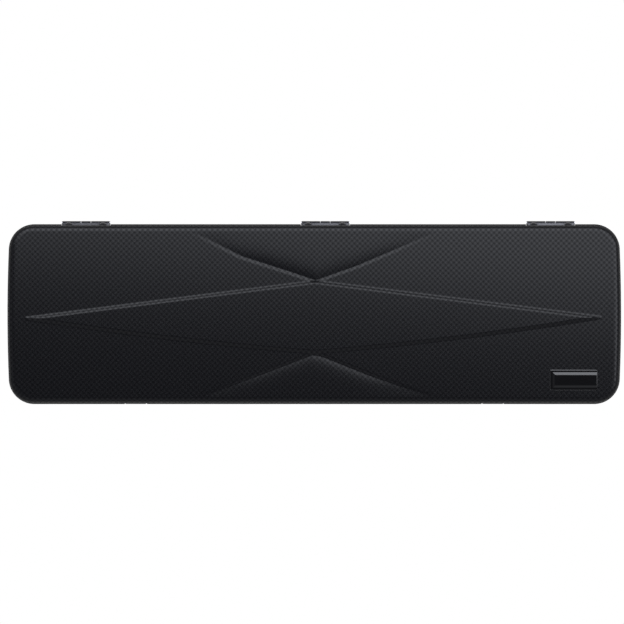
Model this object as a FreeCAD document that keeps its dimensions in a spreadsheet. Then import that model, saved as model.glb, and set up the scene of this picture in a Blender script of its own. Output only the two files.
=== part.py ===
import FreeCAD, Part
import math
import os
import re

import Sketcher

# A hard-shell flute case, closed and lying on its feet.
# X runs along the case, Y towards the hinges at the back, Z up.
# The origin is at the middle of the case body, on the surface that the feet stand on.

driving_sizes = {
    # Outline of the case, over the edge beads
    "case_length": 430.0,
    "case_depth": 126.0,
    "corner_radius": 18.0,
    "end_radius": 1100.0,
    "foot_height": 2.5,
    "base_height": 38.0,
    "lid_height": 26.0,
    # Shells
    "wall": 2.4,
    "base_edge_radius": 8.0,
    "lid_edge_radius": 4.0,
    "lid_crown_radius": 900.0,
    "diamond_rise": 1.2,
    "diamond_bevel": 1.8,
    "diamond_end_gap": 15.0,
    "diamond_back_share": 0.359,
    "diamond_front_share": 0.429,
    "diamond_tip_shift": 2.6,
    "crease_depth": 1.1,
    "crease_edge_gap": 8.0,
    # Edge profiles along the parting line
    "bead_width": 0.8,
    "bead_height": 3.0,
    "web": 1.2,
    "web_overlap": 0.4,
    "lip_width": 1.8,
    "base_lip_height": 4.0,
    "lid_lip_height": 12.0,
    "tongue_width": 1.2,
    "tongue_rise": 2.5,
    "tongue_gap": 0.4,
    "seal_gap": 0.3,
    "edge_joint_gap": 26.0,
    # Hinges
    "hinge_left_gap": 55.0,
    "hinge_middle": 7.7,
    "hinge_right_gap": 49.4,
    "hinge_width": 33.0,
    "hinge_recess_margin": 0.8,
    "leaf_thickness": 1.2,
    "leaf_height": 9.0,
    "leaf_foot": 1.8,
    "barrel_radius": 1.45,
    "barrel_offset": 0.35,
    "knuckle_width": 6.6,
    "knuckle_gap": 0.3,
    "hinge_pin_radius": 0.75,
    "pin_clearance": 0.05,
    "pin_head_radius": 1.25,
    "pin_head_width": 0.5,
    "rivet_spacing": 24.0,
    "rivet_height": 6.6,
    "rivet_radius": 1.5,
    "rivet_head_radius": 2.8,
    "rivet_head_height": 1.7,
    "rivet_seat_radius": 3.0,
    "rivet_seat_depth": 0.8,
    "rivet_tail_radius": 2.4,
    "rivet_tail_height": 0.8,
    # Latches
    "latch_end_gap": 90.0,
    "latch_recess_width": 29.0,
    "latch_recess_depth": 5.2,
    "latch_recess_low": 8.0,
    "notch_width": 16.0,
    "notch_rise": 11.0,
    "lever_pivot_drop": 10.0,
    "lever_pivot_inset": 2.3,
    "lever_width": 24.0,
    "lever_skin": 0.8,
    "lever_inset": 0.2,
    "lever_reach": 16.5,
    "lever_top": 0.9,
    "ear_radius": 1.2,
    "window_gap": 0.6,
    "window_margin": 2.4,
    "cheek": 1.2,
    "cheek_depth": 4.0,
    "cheek_gap": 0.2,
    "latch_plate": 0.8,
    "latch_plate_top": 1.9,
    "latch_plate_bottom": 14.0,
    "claw_pivot_drop": 5.5,
    "claw_pivot_inset": 2.6,
    "claw_width": 14.0,
    "claw_thickness": 1.0,
    "claw_knuckle_radius": 1.3,
    "claw_inset": 1.8,
    "claw_jog_start": 7.6,
    "claw_jog_end": 5.6,
    "claw_top_inset": 0.1,
    "claw_rise": 9.1,
    "claw_nose": 1.2,
    "latch_pin_radius": 0.7,
    "latch_pin_head_radius": 1.1,
    "latch_pin_head_width": 0.4,
    "keeper_lip_gap": 0.3,
    "keeper_width": 12.0,
    "keeper_plate": 0.7,
    "keeper_low": 1.5,
    "keeper_lip_low": 6.3,
    "keeper_lip": 1.2,
    "keeper_clearance": 0.12,
    "small_rivet_radius": 0.9,
    "small_rivet_head_radius": 1.6,
    "small_rivet_head_height": 0.5,
    "keeper_rivet_spacing": 7.0,
    "keeper_rivet_height": 4.3,
    "latch_rivet_spacing": 11.0,
    "latch_rivet_drop": 12.0,
    # Carrying handle
    "handle_recess_margin": 12.0,
    "handle_recess_depth": 11.0,
    "handle_recess_low": 6.0,
    "handle_pivot_height": 28.4,
    "handle_pivot_inset": 5.6,
    "handle_arm_span": 116.0,
    "handle_arm_width": 6.0,
    "handle_arm_radius": 3.8,
    "handle_drop": 13.2,
    "handle_bar_radius": 2.6,
    "grip_end_gap": 4.0,
    "grip_depth": 9.4,
    "grip_height": 12.4,
    "grip_edge_radius": 3.6,
    "handle_pin_radius": 1.5,
    "handle_pin_head_radius": 2.6,
    "handle_pin_head_width": 0.8,
    "bracket_gap": 0.4,
    "bracket_thickness": 1.4,
    "bracket_flange": 8.0,
    "bracket_height": 15.0,
    "bracket_rise": 3.9,
    "bracket_ear_radius": 3.4,
    "screw_radius": 1.2,
    "screw_head_radius": 2.2,
    "screw_head_height": 1.0,
    "screw_spacing": 8.0,
    "screw_edge": 4.0,
    "screw_tip": 0.8,
    # Feet and badge
    "foot_radius": 7.0,
    "foot_edge_radius": 1.0,
    "foot_end_gap": 43.0,
    "foot_side_gap": 27.0,
    "badge_length": 33.3,
    "badge_width": 14.4,
    "badge_thickness": 1.5,
    "badge_seat": 0.6,
    "badge_corner_radius": 1.2,
    "badge_edge_radius": 0.5,
    "badge_end_gap": 33.7,
    "badge_side_gap": 17.0,
    "seat_clearance": 0.1,
    # Padded tray in the base
    "tray_gap": 0.3,
    "tray_top_drop": 3.9,
    "tray_step_drop": 10.0,
    "plush": 1.2,
    "trough_share": 0.42,
    # Ends of the troughs, as shares of half the case's length
    "flute_end": 0.8837,
    "body_trough_right": 0.7721,
    "body_bay_left": 0.707,
    "body_bay_right": 0.6512,
    "head_trough_right": 0.2047,
    "lip_bay_left": 0.307,
    "lip_bay_right": 0.0558,
    "foot_trough_left": 0.2698,
    "foot_bay_left": 0.3256,
    "foot_bay_right": 0.8279,
    "rod_trough_right": 0.8372,
    "pocket_left": 0.8047,
    "pocket_right": 0.9349,
    # Middle lines and widths of the troughs, as shares of half the case's depth
    "body_centre": 0.381,
    "head_centre": 0.3492,
    "rod_centre": 0.7778,
    "joint_trough_width": 0.3968,
    "body_bay_width": 0.6032,
    "lip_bay_width": 0.5397,
    "foot_bay_width": 0.5714,
    "rod_trough_width": 0.1429,
    "pocket_width": 0.5397,
    # Depths of the troughs
    "joint_trough_depth": 25.0,
    "body_bay_depth": 21.0,
    "lip_bay_depth": 22.0,
    "foot_bay_depth": 22.0,
    "rod_trough_depth": 11.0,
    "pocket_depth": 24.0,
    # Padded lid cushion
    "cushion_gap": 0.5,
    "cushion_thickness": 16.0,
    "cushion_crown_radius": 700.0,
    "cushion_edge_radius": 5.0,
    "cushion_top_radius": 3.0,
    "cushion_channel_radius": 6.0,
    "cushion_channel_depth": 1.6,
    "cushion_channel_place": 28.0,
    # Overrun of cutting tools past the faces that they cut
    "overrun": 5.0,
}

doc = FreeCAD.newDocument("flute_case")
sheet = doc.addObject("Spreadsheet::Sheet", "sizes")
for row, (alias, size) in enumerate(driving_sizes.items(), start=1):
    sheet.set(f"A{row}", alias)
    sheet.set(f"B{row}", str(size))
    sheet.setAlias(f"B{row}", alias)
doc.recompute()

X_AXIS = FreeCAD.Vector(1, 0, 0)
Z_AXIS = FreeCAD.Vector(0, 0, 1)
QUARTER = 90
PLAN, FRONT, SIDE = "XY_Plane", "XZ_Plane", "YZ_Plane"


# Expressions name the sizes plainly; the sheet's name is put before each one here
def in_sheet(text):
    def prefix(word):
        name = word.group(0)
        return f"sizes.{name}" if name in driving_sizes else name
    return re.sub(r"[a-z][a-z0-9_]*", prefix, str(text))


def value(text):
    return float(sheet.evalExpression(in_sheet(text)))


def bind(item, prop, text):
    item.setExpression(prop, in_sheet(text))


def place(item, x="0", y="0", z="0", axis=None, angle="0"):
    if axis is not None:
        item.Placement = FreeCAD.Placement(FreeCAD.Vector(), FreeCAD.Rotation(axis, value(angle)))
        bind(item, "Placement.Rotation.Angle", angle)
    bind(item, "Placement.Base.x", x)
    bind(item, "Placement.Base.y", y)
    bind(item, "Placement.Base.z", z)
    return item


# Heights and depths that several pieces share
parting = "(foot_height + base_height)"
lid_top = f"({parting} + lid_height)"
half_depth = "(case_depth / 2)"
half_length = "(case_length / 2)"
shell_inside = "(bead_width + wall)"
lid_lip_inside = f"({shell_inside} + lip_width)"
tongue_outside = f"({lid_lip_inside} + tongue_gap)"
tongue_inside = f"({tongue_outside} + tongue_width)"
floor_top = "(foot_height + wall)"
leaf_back = f"({half_depth} - bead_width)"
leaf_front = f"({leaf_back} + leaf_thickness)"
hinge_axis_y = f"({leaf_front} + barrel_offset)"
recess_roof = f"({parting} - base_lip_height - wall)"
lever_pivot_y = f"(lever_pivot_inset - {half_depth})"
lever_pivot_z = f"({parting} - lever_pivot_drop)"
claw_pivot_y = f"(claw_pivot_inset - {half_depth})"
claw_pivot_z = f"({lever_pivot_z} - claw_pivot_drop)"
tray_top = f"({parting} - tray_top_drop)"
plush_top = f"({tray_top} + plush)"
keeper_lip_y = f"(claw_top_inset + claw_thickness + keeper_lip_gap - {half_depth})"
diamond_back = f"(diamond_back_share * {half_depth})"
diamond_front = f"(diamond_front_share * {half_depth})"


# Bodies, sketches and features
def new_body(name):
    body = doc.addObject("PartDesign::Body", name)
    body.Label = name
    return body


def new_sketch(body, name, plane=PLAN, shift="0"):
    support = [item for item in body.Origin.OriginFeatures if item.Role == plane][0]
    sketch = body.newObject("Sketcher::SketchObject", f"{body.Name}_{name}")
    sketch.AttachmentSupport = (support, [""])
    sketch.MapMode = "FlatFace"
    bind(sketch, "AttachmentOffset.Base.z", shift)
    return sketch


def fix(sketch, kind, geometry, corner, text):
    if corner is None:
        number = sketch.addConstraint(Sketcher.Constraint(kind, geometry, value(text)))
    else:
        number = sketch.addConstraint(Sketcher.Constraint(kind, geometry, corner, value(text)))
    bind(sketch, f"Constraints[{number}]", text)


def add_polygon(sketch, points):
    places = [FreeCAD.Vector(value(x), value(y), 0) for x, y in points]
    lines = []
    for start, end in zip(places, places[1:] + places[:1]):
        lines.append(sketch.addGeometry(Part.LineSegment(start, end)))
    for line, after in zip(lines, lines[1:] + lines[:1]):
        sketch.addConstraint(Sketcher.Constraint("Coincident", line, 2, after, 1))
    for line, (x, y) in zip(lines, points):
        fix(sketch, "DistanceX", line, 1, x)
        fix(sketch, "DistanceY", line, 1, y)


def add_rectangle(sketch, low_x, low_y, high_x, high_y):
    add_polygon(sketch, [(low_x, low_y), (high_x, low_y), (high_x, high_y), (low_x, high_y)])


def add_circle(sketch, x, y, radius):
    centre = FreeCAD.Vector(value(x), value(y), 0)
    ring = sketch.addGeometry(Part.Circle(centre, Z_AXIS, value(radius)))
    fix(sketch, "DistanceX", ring, 3, x)
    fix(sketch, "DistanceY", ring, 3, y)
    fix(sketch, "Radius", ring, None, radius)


# A trough seen end on: straight sides and a bottom with two rounded corners
def add_trough(sketch, centre, width, floor, top, corner):
    left = f"({centre} - {width} / 2)"
    right = f"({centre} + {width} / 2)"
    shoulder = f"({floor} + {corner})"
    radius = value(corner)
    arc_left = Part.Circle(FreeCAD.Vector(value(left) + radius, value(shoulder), 0), Z_AXIS, radius)
    arc_right = Part.Circle(FreeCAD.Vector(value(right) - radius, value(shoulder), 0), Z_AXIS, radius)
    corners = {
        "top_left": FreeCAD.Vector(value(left), value(top), 0),
        "low_left": FreeCAD.Vector(value(left), value(shoulder), 0),
        "floor_left": FreeCAD.Vector(value(left) + radius, value(floor), 0),
        "floor_right": FreeCAD.Vector(value(right) - radius, value(floor), 0),
        "low_right": FreeCAD.Vector(value(right), value(shoulder), 0),
        "top_right": FreeCAD.Vector(value(right), value(top), 0),
    }
    wall_left = sketch.addGeometry(Part.LineSegment(corners["top_left"], corners["low_left"]))
    turn_left = sketch.addGeometry(Part.ArcOfCircle(arc_left, math.pi, 1.5 * math.pi))
    bottom = sketch.addGeometry(Part.LineSegment(corners["floor_left"], corners["floor_right"]))
    turn_right = sketch.addGeometry(Part.ArcOfCircle(arc_right, -math.pi / 2, 0))
    wall_right = sketch.addGeometry(Part.LineSegment(corners["low_right"], corners["top_right"]))
    rim = sketch.addGeometry(Part.LineSegment(corners["top_right"], corners["top_left"]))
    chain = [(wall_left, 2, turn_left, 1), (turn_left, 2, bottom, 1)]
    chain += [(bottom, 2, turn_right, 1), (turn_right, 2, wall_right, 1)]
    for first, first_end, second, second_end in chain:
        sketch.addConstraint(Sketcher.Constraint("Tangent", first, first_end, second, second_end))
    sketch.addConstraint(Sketcher.Constraint("Coincident", wall_right, 2, rim, 1))
    sketch.addConstraint(Sketcher.Constraint("Coincident", rim, 2, wall_left, 1))
    sketch.addConstraint(Sketcher.Constraint("Vertical", wall_left))
    sketch.addConstraint(Sketcher.Constraint("Vertical", wall_right))
    sketch.addConstraint(Sketcher.Constraint("Horizontal", bottom))
    sketch.addConstraint(Sketcher.Constraint("Horizontal", rim))
    sketch.addConstraint(Sketcher.Constraint("Equal", turn_left, turn_right))
    fix(sketch, "Radius", turn_left, None, corner)
    fix(sketch, "DistanceX", wall_left, 1, left)
    fix(sketch, "DistanceY", wall_left, 1, top)
    fix(sketch, "DistanceX", wall_right, 2, right)
    fix(sketch, "DistanceY", bottom, 1, floor)


# The case's plan outline, moved in by an inset: straight long sides, slightly bowed ends
def add_outline(sketch, inset):
    reach_x = f"({half_length} - {inset})"
    reach_y = f"({half_depth} - {inset})"
    corner = f"(corner_radius - {inset})"
    bow = f"(end_radius - {inset})"
    depth = value(reach_y)
    corner_size = value(corner)
    bow_size = value(bow)
    bow_x = value(reach_x) - bow_size
    corner_y = depth - corner_size
    corner_x = bow_x + math.sqrt((bow_size - corner_size) ** 2 - corner_y ** 2)
    lean = math.atan2(corner_y, corner_x - bow_x)
    half_turn = math.pi

    def arc(x, y, radius, start, end):
        circle = Part.Circle(FreeCAD.Vector(x, y, 0), Z_AXIS, radius)
        return sketch.addGeometry(Part.ArcOfCircle(circle, start, end))

    def line(start_x, end_x, y):
        start = FreeCAD.Vector(start_x, y, 0)
        end = FreeCAD.Vector(end_x, y, 0)
        return sketch.addGeometry(Part.LineSegment(start, end))

    back = line(-corner_x, corner_x, depth)
    back_right = arc(corner_x, corner_y, corner_size, lean, half_turn / 2)
    right = arc(bow_x, 0, bow_size, -lean, lean)
    front_right = arc(corner_x, -corner_y, corner_size, -half_turn / 2, -lean)
    front = line(corner_x, -corner_x, -depth)
    front_left = arc(-corner_x, -corner_y, corner_size, half_turn + lean, 1.5 * half_turn)
    left = arc(-bow_x, 0, bow_size, half_turn - lean, half_turn + lean)
    back_left = arc(-corner_x, corner_y, corner_size, half_turn / 2, half_turn - lean)
    chain = [(back, 2, back_right, 2), (back_right, 1, right, 2), (right, 1, front_right, 2)]
    chain += [(front_right, 1, front, 1), (front, 2, front_left, 2), (front_left, 1, left, 2)]
    chain += [(left, 1, back_left, 2), (back_left, 1, back, 1)]
    for first, first_end, second, second_end in chain:
        sketch.addConstraint(Sketcher.Constraint("Tangent", first, first_end, second, second_end))
    sketch.addConstraint(Sketcher.Constraint("Horizontal", back))
    sketch.addConstraint(Sketcher.Constraint("Horizontal", front))
    for other in (front_right, front_left, back_left):
        sketch.addConstraint(Sketcher.Constraint("Equal", back_right, other))
    sketch.addConstraint(Sketcher.Constraint("Equal", right, left))
    sketch.addConstraint(Sketcher.Constraint("PointOnObject", right, 3, -1))
    sketch.addConstraint(Sketcher.Constraint("PointOnObject", left, 3, -1))
    fix(sketch, "Radius", back_right, None, corner)
    fix(sketch, "Radius", right, None, bow)
    fix(sketch, "DistanceX", right, 3, f"{reach_x} - {bow}")
    fix(sketch, "DistanceX", left, 3, f"{bow} - {reach_x}")
    fix(sketch, "DistanceY", back, 1, reach_y)
    fix(sketch, "DistanceY", front, 1, f"-{reach_y}")


def add_feature(body, kind, sketch, length, midplane=False, backwards=False):
    feature = body.newObject(f"PartDesign::{kind}", f"{sketch.Name}_{kind.lower()}")
    feature.Profile = sketch
    feature.Reversed = backwards
    if midplane:
        feature.SideType = "Symmetric"
    bind(feature, "Length", length)
    sketch.Visibility = False
    return feature


def pad(body, sketch, length, midplane=False, backwards=False):
    return add_feature(body, "Pad", sketch, length, midplane, backwards)


def pocket(body, sketch, length, midplane=False, backwards=False):
    doc.recompute()
    before = body.Shape.Volume
    feature = add_feature(body, "Pocket", sketch, length, midplane, backwards)
    doc.recompute()
    if not body.Shape.Volume < before:
        raise RuntimeError(f"{feature.Name} cuts nothing")
    return feature


def fillet(body, name, chosen, radius):
    doc.recompute()
    base = body.Tip
    edges = [f"Edge{number}" for number, edge in enumerate(base.Shape.Edges, start=1) if chosen(edge)]
    if not edges:
        raise RuntimeError(f"{body.Name}_{name} finds no edge")
    feature = body.newObject("PartDesign::Fillet", f"{body.Name}_{name}")
    feature.Base = (base, edges)
    bind(feature, "Radius", radius)
    doc.recompute()
    return feature


# A hair's breadth, for comparing places only
SAME = 1e-4


def all_at_height(text):
    level = value(text)
    return lambda edge: all(abs(corner.Z - level) < SAME for corner in edge.Vertexes)


def box_between(body, name, low, high):
    sketch = new_sketch(body, name, PLAN, low[2])
    add_rectangle(sketch, low[0], low[1], high[0], high[1])
    return pad(body, sketch, f"{high[2]} - ({low[2]})")


def cut_between(body, name, low, high):
    sketch = new_sketch(body, name, PLAN, low[2])
    add_rectangle(sketch, low[0], low[1], high[0], high[1])
    return pocket(body, sketch, f"{high[2]} - ({low[2]})", backwards=True)


# Round holes along Y, and round solids along X
def holes_along_y(body, name, centres, radius, start_y, end_y):
    sketch = new_sketch(body, name, FRONT, f"-({start_y})")
    for x, z in centres:
        add_circle(sketch, x, z, radius)
    return pocket(body, sketch, f"{end_y} - ({start_y})")


def round_along_x(body, name, y, z, radius, low_x, high_x):
    sketch = new_sketch(body, name, SIDE, low_x)
    add_circle(sketch, y, z, radius)
    return pad(body, sketch, f"{high_x} - ({low_x})")


def hole_along_x(body, name, y, z, radius, low_x, high_x):
    sketch = new_sketch(body, name, SIDE, low_x)
    add_circle(sketch, y, z, radius)
    return pocket(body, sketch, f"{high_x} - ({low_x})", backwards=True)


def ring(body, name, outer, inner, low, high):
    sketch = new_sketch(body, name, PLAN, low)
    add_outline(sketch, outer)
    add_outline(sketch, inner)
    return pad(body, sketch, f"{high} - {low}")


hinge_places = {
    "left": f"(hinge_left_gap - {half_length})",
    "middle": "hinge_middle",
    "right": f"({half_length} - hinge_right_gap)",
}
latch_places = {"left": f"(latch_end_gap - {half_length})", "right": f"({half_length} - latch_end_gap)"}
subparts = []


def keep(item):
    subparts.append(item)
    return item


# Rivets and screws come in pairs, side by side about each middle
def pair_centres(middles, spacing, height):
    return [(f"{middle} {sign} {spacing} / 2", height) for middle in middles for sign in "-+"]


def rivet_centres(height):
    return pair_centres(hinge_places.values(), "rivet_spacing", height)


def latch_rivet_centres(middles):
    return pair_centres(middles, "latch_rivet_spacing", f"({lever_pivot_z} - latch_rivet_drop)")


def keeper_rivet_centres(middles):
    return pair_centres(middles, "keeper_rivet_spacing", f"({parting} + keeper_rivet_height)")


def screw_centres(side):
    heights = (screw_top_z, f"({screw_top_z} - screw_spacing)")
    return [(f"{side} * {screw_place_x}", height) for height in heights]


# The bead is left off round each hinge, so that the leaves lie on the shell's wall
def cut_hinge_recesses(body, low, high):
    for side, middle in hinge_places.items():
        reach = "(hinge_width / 2 + hinge_recess_margin)"
        low_corner = (f"{middle} - {reach}", leaf_back, low)
        high_corner = (f"{middle} + {reach}", f"{half_depth} + overrun", high)
        cut_between(body, f"hinge_recess_{side}", low_corner, high_corner)


# The claw of each latch crosses the edges in a notch of the front wall
def cut_latch_notches(body, low, high):
    for side, middle in latch_places.items():
        low_corner = (f"{middle} - notch_width / 2", f"-{half_depth} - overrun", low)
        high_corner = (f"{middle} + notch_width / 2", f"{shell_inside} - {half_depth}", high)
        cut_between(body, f"notch_{side}", low_corner, high_corner)


# Base shell: a tub with rounded bottom edges, a handle recess and two latch recesses
latch_half = "(latch_recess_width / 2)"
handle_half = "(handle_arm_span / 2 + handle_recess_margin)"
handle_floor_y = f"(handle_recess_depth - {half_depth})"
latch_floor_y = f"(latch_recess_depth - {half_depth})"


def make_base_shell():
    body = new_body("base_shell")
    top = f"({parting} - web)"
    outside = new_sketch(body, "outside", PLAN, "foot_height")
    add_outline(outside, "bead_width")
    pad(body, outside, f"{top} - foot_height")
    fillet(body, "outer_edge", all_at_height("foot_height"), "base_edge_radius")
    inside = new_sketch(body, "inside", PLAN, floor_top)
    add_outline(inside, shell_inside)
    pocket(body, inside, f"{top} - {floor_top}", backwards=True)
    fillet(body, "inner_edge", all_at_height(floor_top), "(base_edge_radius - wall)")
    roof = f"({recess_roof} + wall)"
    front_wall = f"(bead_width + wall / 2 - {half_depth})"
    box_low = (f"-{handle_half} - wall", front_wall, "handle_recess_low - wall")
    box_high = (f"{handle_half} + wall", f"{handle_floor_y} + wall", roof)
    box_between(body, "handle_box", box_low, box_high)
    for side, middle in latch_places.items():
        box_low = (f"{middle} - {latch_half} - wall", front_wall, "latch_recess_low - wall")
        box_high = (f"{middle} + {latch_half} + wall", f"{latch_floor_y} + wall", roof)
        box_between(body, f"latch_box_{side}", box_low, box_high)
    cut_low = (f"-{handle_half}", f"-{half_depth} - overrun", "handle_recess_low")
    cut_high = (handle_half, handle_floor_y, recess_roof)
    cut_between(body, "handle_recess", cut_low, cut_high)
    for side, middle in latch_places.items():
        cut_low = (f"{middle} - {latch_half}", f"-{half_depth} - overrun", "latch_recess_low")
        cut_high = (f"{middle} + {latch_half}", latch_floor_y, recess_roof)
        cut_between(body, f"latch_recess_{side}", cut_low, cut_high)
    cut_latch_notches(body, f"({recess_roof} - overrun)", f"({parting} + overrun)")
    hole = "(rivet_radius + pin_clearance)"
    centres = rivet_centres(f"{parting} - rivet_height")
    holes_along_y(body, "rivet_holes", centres, hole, f"{leaf_back} - 2 * wall", f"{half_depth}")
    hole = "(small_rivet_radius + pin_clearance)"
    centres = latch_rivet_centres(latch_places.values())
    span = (f"{latch_floor_y} - wall", f"{latch_floor_y} + 2 * wall")
    holes_along_y(body, "latch_rivet_holes", centres, hole, *span)
    hole = "(screw_radius + pin_clearance)"
    centres = screw_centres(-1) + screw_centres(1)
    span = (f"{handle_floor_y} - wall", f"{handle_floor_y} + 2 * wall")
    holes_along_y(body, "screw_holes", centres, hole, *span)
    keep(body)


# Each edge is bent from four lengths of profile: two straight ones, and one round each end.
# They meet on the long sides, a little way in from the corners.
edge_joint = f"({half_length} - edge_joint_gap)"
edge_far_x = f"({half_length} + overrun)"
edge_far_y = f"({half_depth} + overrun)"
edge_spans = {
    "front": (f"-{edge_joint}", f"-{edge_far_y}", edge_joint, "0"),
    "back": (f"-{edge_joint}", "0", edge_joint, edge_far_y),
    "left": (f"-{edge_far_x}", f"-{edge_far_y}", f"-{edge_joint}", edge_far_y),
    "right": (edge_joint, f"-{edge_far_y}", edge_far_x, edge_far_y),
}


# Takes away what lies outside one length of an edge
def cut_to_span(body, span, low, high):
    sketch = new_sketch(body, "span", PLAN, low)
    beyond = (f"-2 * {edge_far_x}", f"-2 * {edge_far_y}", f"2 * {edge_far_x}", f"2 * {edge_far_y}")
    add_rectangle(sketch, *beyond)
    add_rectangle(sketch, *edge_spans[span])
    pocket(body, sketch, f"{high} - ({low})", backwards=True)


# Edge profile of the base: bead, web over the shell's edge, inner lip and sealing tongue
def make_base_rim(span):
    body = new_body(f"base_rim_{span}")
    top = parting
    ring(body, "bead", "0", "bead_width", f"({top} - bead_height)", top)
    ring(body, "web", "bead_width", f"({shell_inside} + web_overlap)", f"({top} - web)", top)
    ring(body, "lip", shell_inside, tongue_inside, f"({top} - base_lip_height)", f"({top} - web)")
    ring(body, "tongue", tongue_outside, tongue_inside, f"({top} - web)", f"({top} + tongue_rise)")
    cut_to_span(body, span, f"({top} - overrun)", f"({top} + overrun)")
    if span == "back":
        cut_hinge_recesses(body, f"({top} - base_lip_height)", f"({top} + overrun)")
    if span == "front":
        cut_latch_notches(body, f"({top} - overrun)", f"({top} + overrun)")
    keep(body)


# Edge profile of the lid: bead, web under the shell's edge and a deep inner lip
def make_lid_rim(span):
    body = new_body(f"lid_rim_{span}")
    low = parting
    high = f"({low} + lid_lip_height + overrun)"
    ring(body, "bead", "0", "bead_width", low, f"({low} + bead_height)")
    ring(body, "web", "bead_width", shell_inside, low, f"({low} + web)")
    ring(body, "lip", shell_inside, lid_lip_inside, low, f"({low} + lid_lip_height)")
    cut_to_span(body, span, f"({low} - overrun)", high)
    if span == "back":
        cut_hinge_recesses(body, f"({low} - overrun)", f"({low} + lid_lip_height)")
        hole = "(rivet_radius + pin_clearance)"
        centres = rivet_centres(f"{low} + rivet_height")
        holes_along_y(body, "rivet_holes", centres, hole, f"{leaf_back} - 3 * wall", f"{half_depth}")
    if span == "front":
        cut_latch_notches(body, f"({low} - overrun)", high)
        hole = "(small_rivet_radius + pin_clearance)"
        centres = keeper_rivet_centres(latch_places.values())
        behind = f"(2 * lip_width + {shell_inside} - {half_depth})"
        holes_along_y(body, "keeper_holes", centres, hole, f"-{half_depth}", behind)
    keep(body)


# A soft cord of rubber on the base's ledge, under the lid's lip
def make_seal():
    body = new_body("rim_seal")
    low = f"({parting} - web)"
    outer = f"({shell_inside} + web_overlap + seal_gap / 2)"
    inner = f"({tongue_outside} - seal_gap / 2)"
    ring(body, "cord", outer, inner, low, f"({parting} - seal_gap)")
    keep(body)


# A block with the case's outline and a top arched across the case
def domed_block(name, inset, low, top, crown, edge_radius):
    body = new_body(name)
    outside = new_sketch(body, "outside", PLAN, low)
    add_outline(outside, inset)
    pad(body, outside, f"{top} + overrun - {low}")
    cut_above_arch(body, "crown", top, crown)
    lowest_top = value(top) - value(f"{half_depth} ^ 2 / {crown}")
    fillet(body, "edge", lambda edge: edge.BoundBox.ZMin > lowest_top, edge_radius)
    return body


# Takes away what lies above an arc in the YZ plane, along the whole case
def cut_above_arch(body, name, top, radius, sign=1):
    sketch = new_sketch(body, name, SIDE)
    reach = half_depth
    ceiling = f"({top} + {sign} * 2 * overrun)"
    drop = f"({radius} - sqrt({radius} ^ 2 - {reach} ^ 2))"
    shoulder = f"({top} - {sign} * {drop})"
    size = value(radius)
    centre = FreeCAD.Vector(0, value(top) - sign * size, 0)
    half_angle = math.asin(value(reach) / size)
    middle = sign * math.pi / 2
    circle = Part.Circle(centre, Z_AXIS, size)
    arc = sketch.addGeometry(Part.ArcOfCircle(circle, middle - half_angle, middle + half_angle))
    ends = [FreeCAD.Vector(sign * value(reach), value(shoulder), 0)]
    ends.append(FreeCAD.Vector(sign * value(reach), value(ceiling), 0))
    ends.append(FreeCAD.Vector(-sign * value(reach), value(ceiling), 0))
    ends.append(FreeCAD.Vector(-sign * value(reach), value(shoulder), 0))
    lines = [sketch.addGeometry(Part.LineSegment(a, b)) for a, b in zip(ends, ends[1:])]
    sketch.addConstraint(Sketcher.Constraint("Coincident", arc, 1, lines[0], 1))
    sketch.addConstraint(Sketcher.Constraint("Coincident", lines[0], 2, lines[1], 1))
    sketch.addConstraint(Sketcher.Constraint("Coincident", lines[1], 2, lines[2], 1))
    sketch.addConstraint(Sketcher.Constraint("Coincident", lines[2], 2, arc, 2))
    sketch.addConstraint(Sketcher.Constraint("Vertical", lines[0]))
    sketch.addConstraint(Sketcher.Constraint("Vertical", lines[2]))
    sketch.addConstraint(Sketcher.Constraint("Horizontal", lines[1]))
    fix(sketch, "DistanceX", lines[0], 1, f"{sign} * {reach}")
    fix(sketch, "DistanceX", lines[2], 1, f"-{sign} * {reach}")
    fix(sketch, "DistanceY", lines[1], 1, ceiling)
    fix(sketch, "DistanceX", arc, 3, "0")
    fix(sketch, "Radius", arc, None, radius)
    fix(sketch, "DistanceY", arc, 3, f"{top} - {sign} * {radius}")
    return pocket(body, sketch, "2 * case_length", midplane=True)


# Raised diamond on the lid: bevelled sides, and a top that follows the lid's crown
def make_diamond():
    body = new_body("lid_diamond")
    narrow_reach = f"({diamond_back} + {diamond_front}) / 2"
    profiles = []
    for name, level, growth in (("foot", "-diamond_rise / 2", "1"), ("top", "diamond_rise", "-2")):
        sketch = new_sketch(body, name, PLAN, f"{lid_top} + {level}")
        share = f"(1 + {growth} * diamond_bevel / 2 / ({narrow_reach}))"
        half = f"({half_length} - diamond_end_gap) * {share}"
        points = [(f"-{half}", "-diamond_tip_shift"), ("0", f"-{diamond_front} * {share}")]
        points += [(half, "-diamond_tip_shift"), ("0", f"{diamond_back} * {share}")]
        add_polygon(sketch, points)
        profiles.append(sketch)
    loft = body.newObject("PartDesign::AdditiveLoft", "lid_diamond_loft")
    loft.Profile = profiles[0]
    loft.Sections = [profiles[1]]
    loft.Ruled = True
    cut_above_arch(body, "crown", f"({lid_top} + diamond_rise)", "(lid_crown_radius + diamond_rise)")
    return body


# Creases run from the diamond's two blunt corners to the long edges of the lid.
# Points are shares of half the case's length and half its depth.
back_crease_shares = [(-0.355, 0.873), (-0.241, 0.632), (-0.078, 0.454), (0.0, 0.359)]
back_crease_shares += [(0.14, 0.524), (0.248, 0.681), (0.356, 0.843), (0.395, 0.873)]
front_crease_shares = [(-0.33, -0.873), (-0.297, -0.816), (-0.133, -0.605), (0.0, -0.429)]
front_crease_shares += [(0.03, -0.46), (0.193, -0.683), (0.356, -0.873)]


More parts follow.
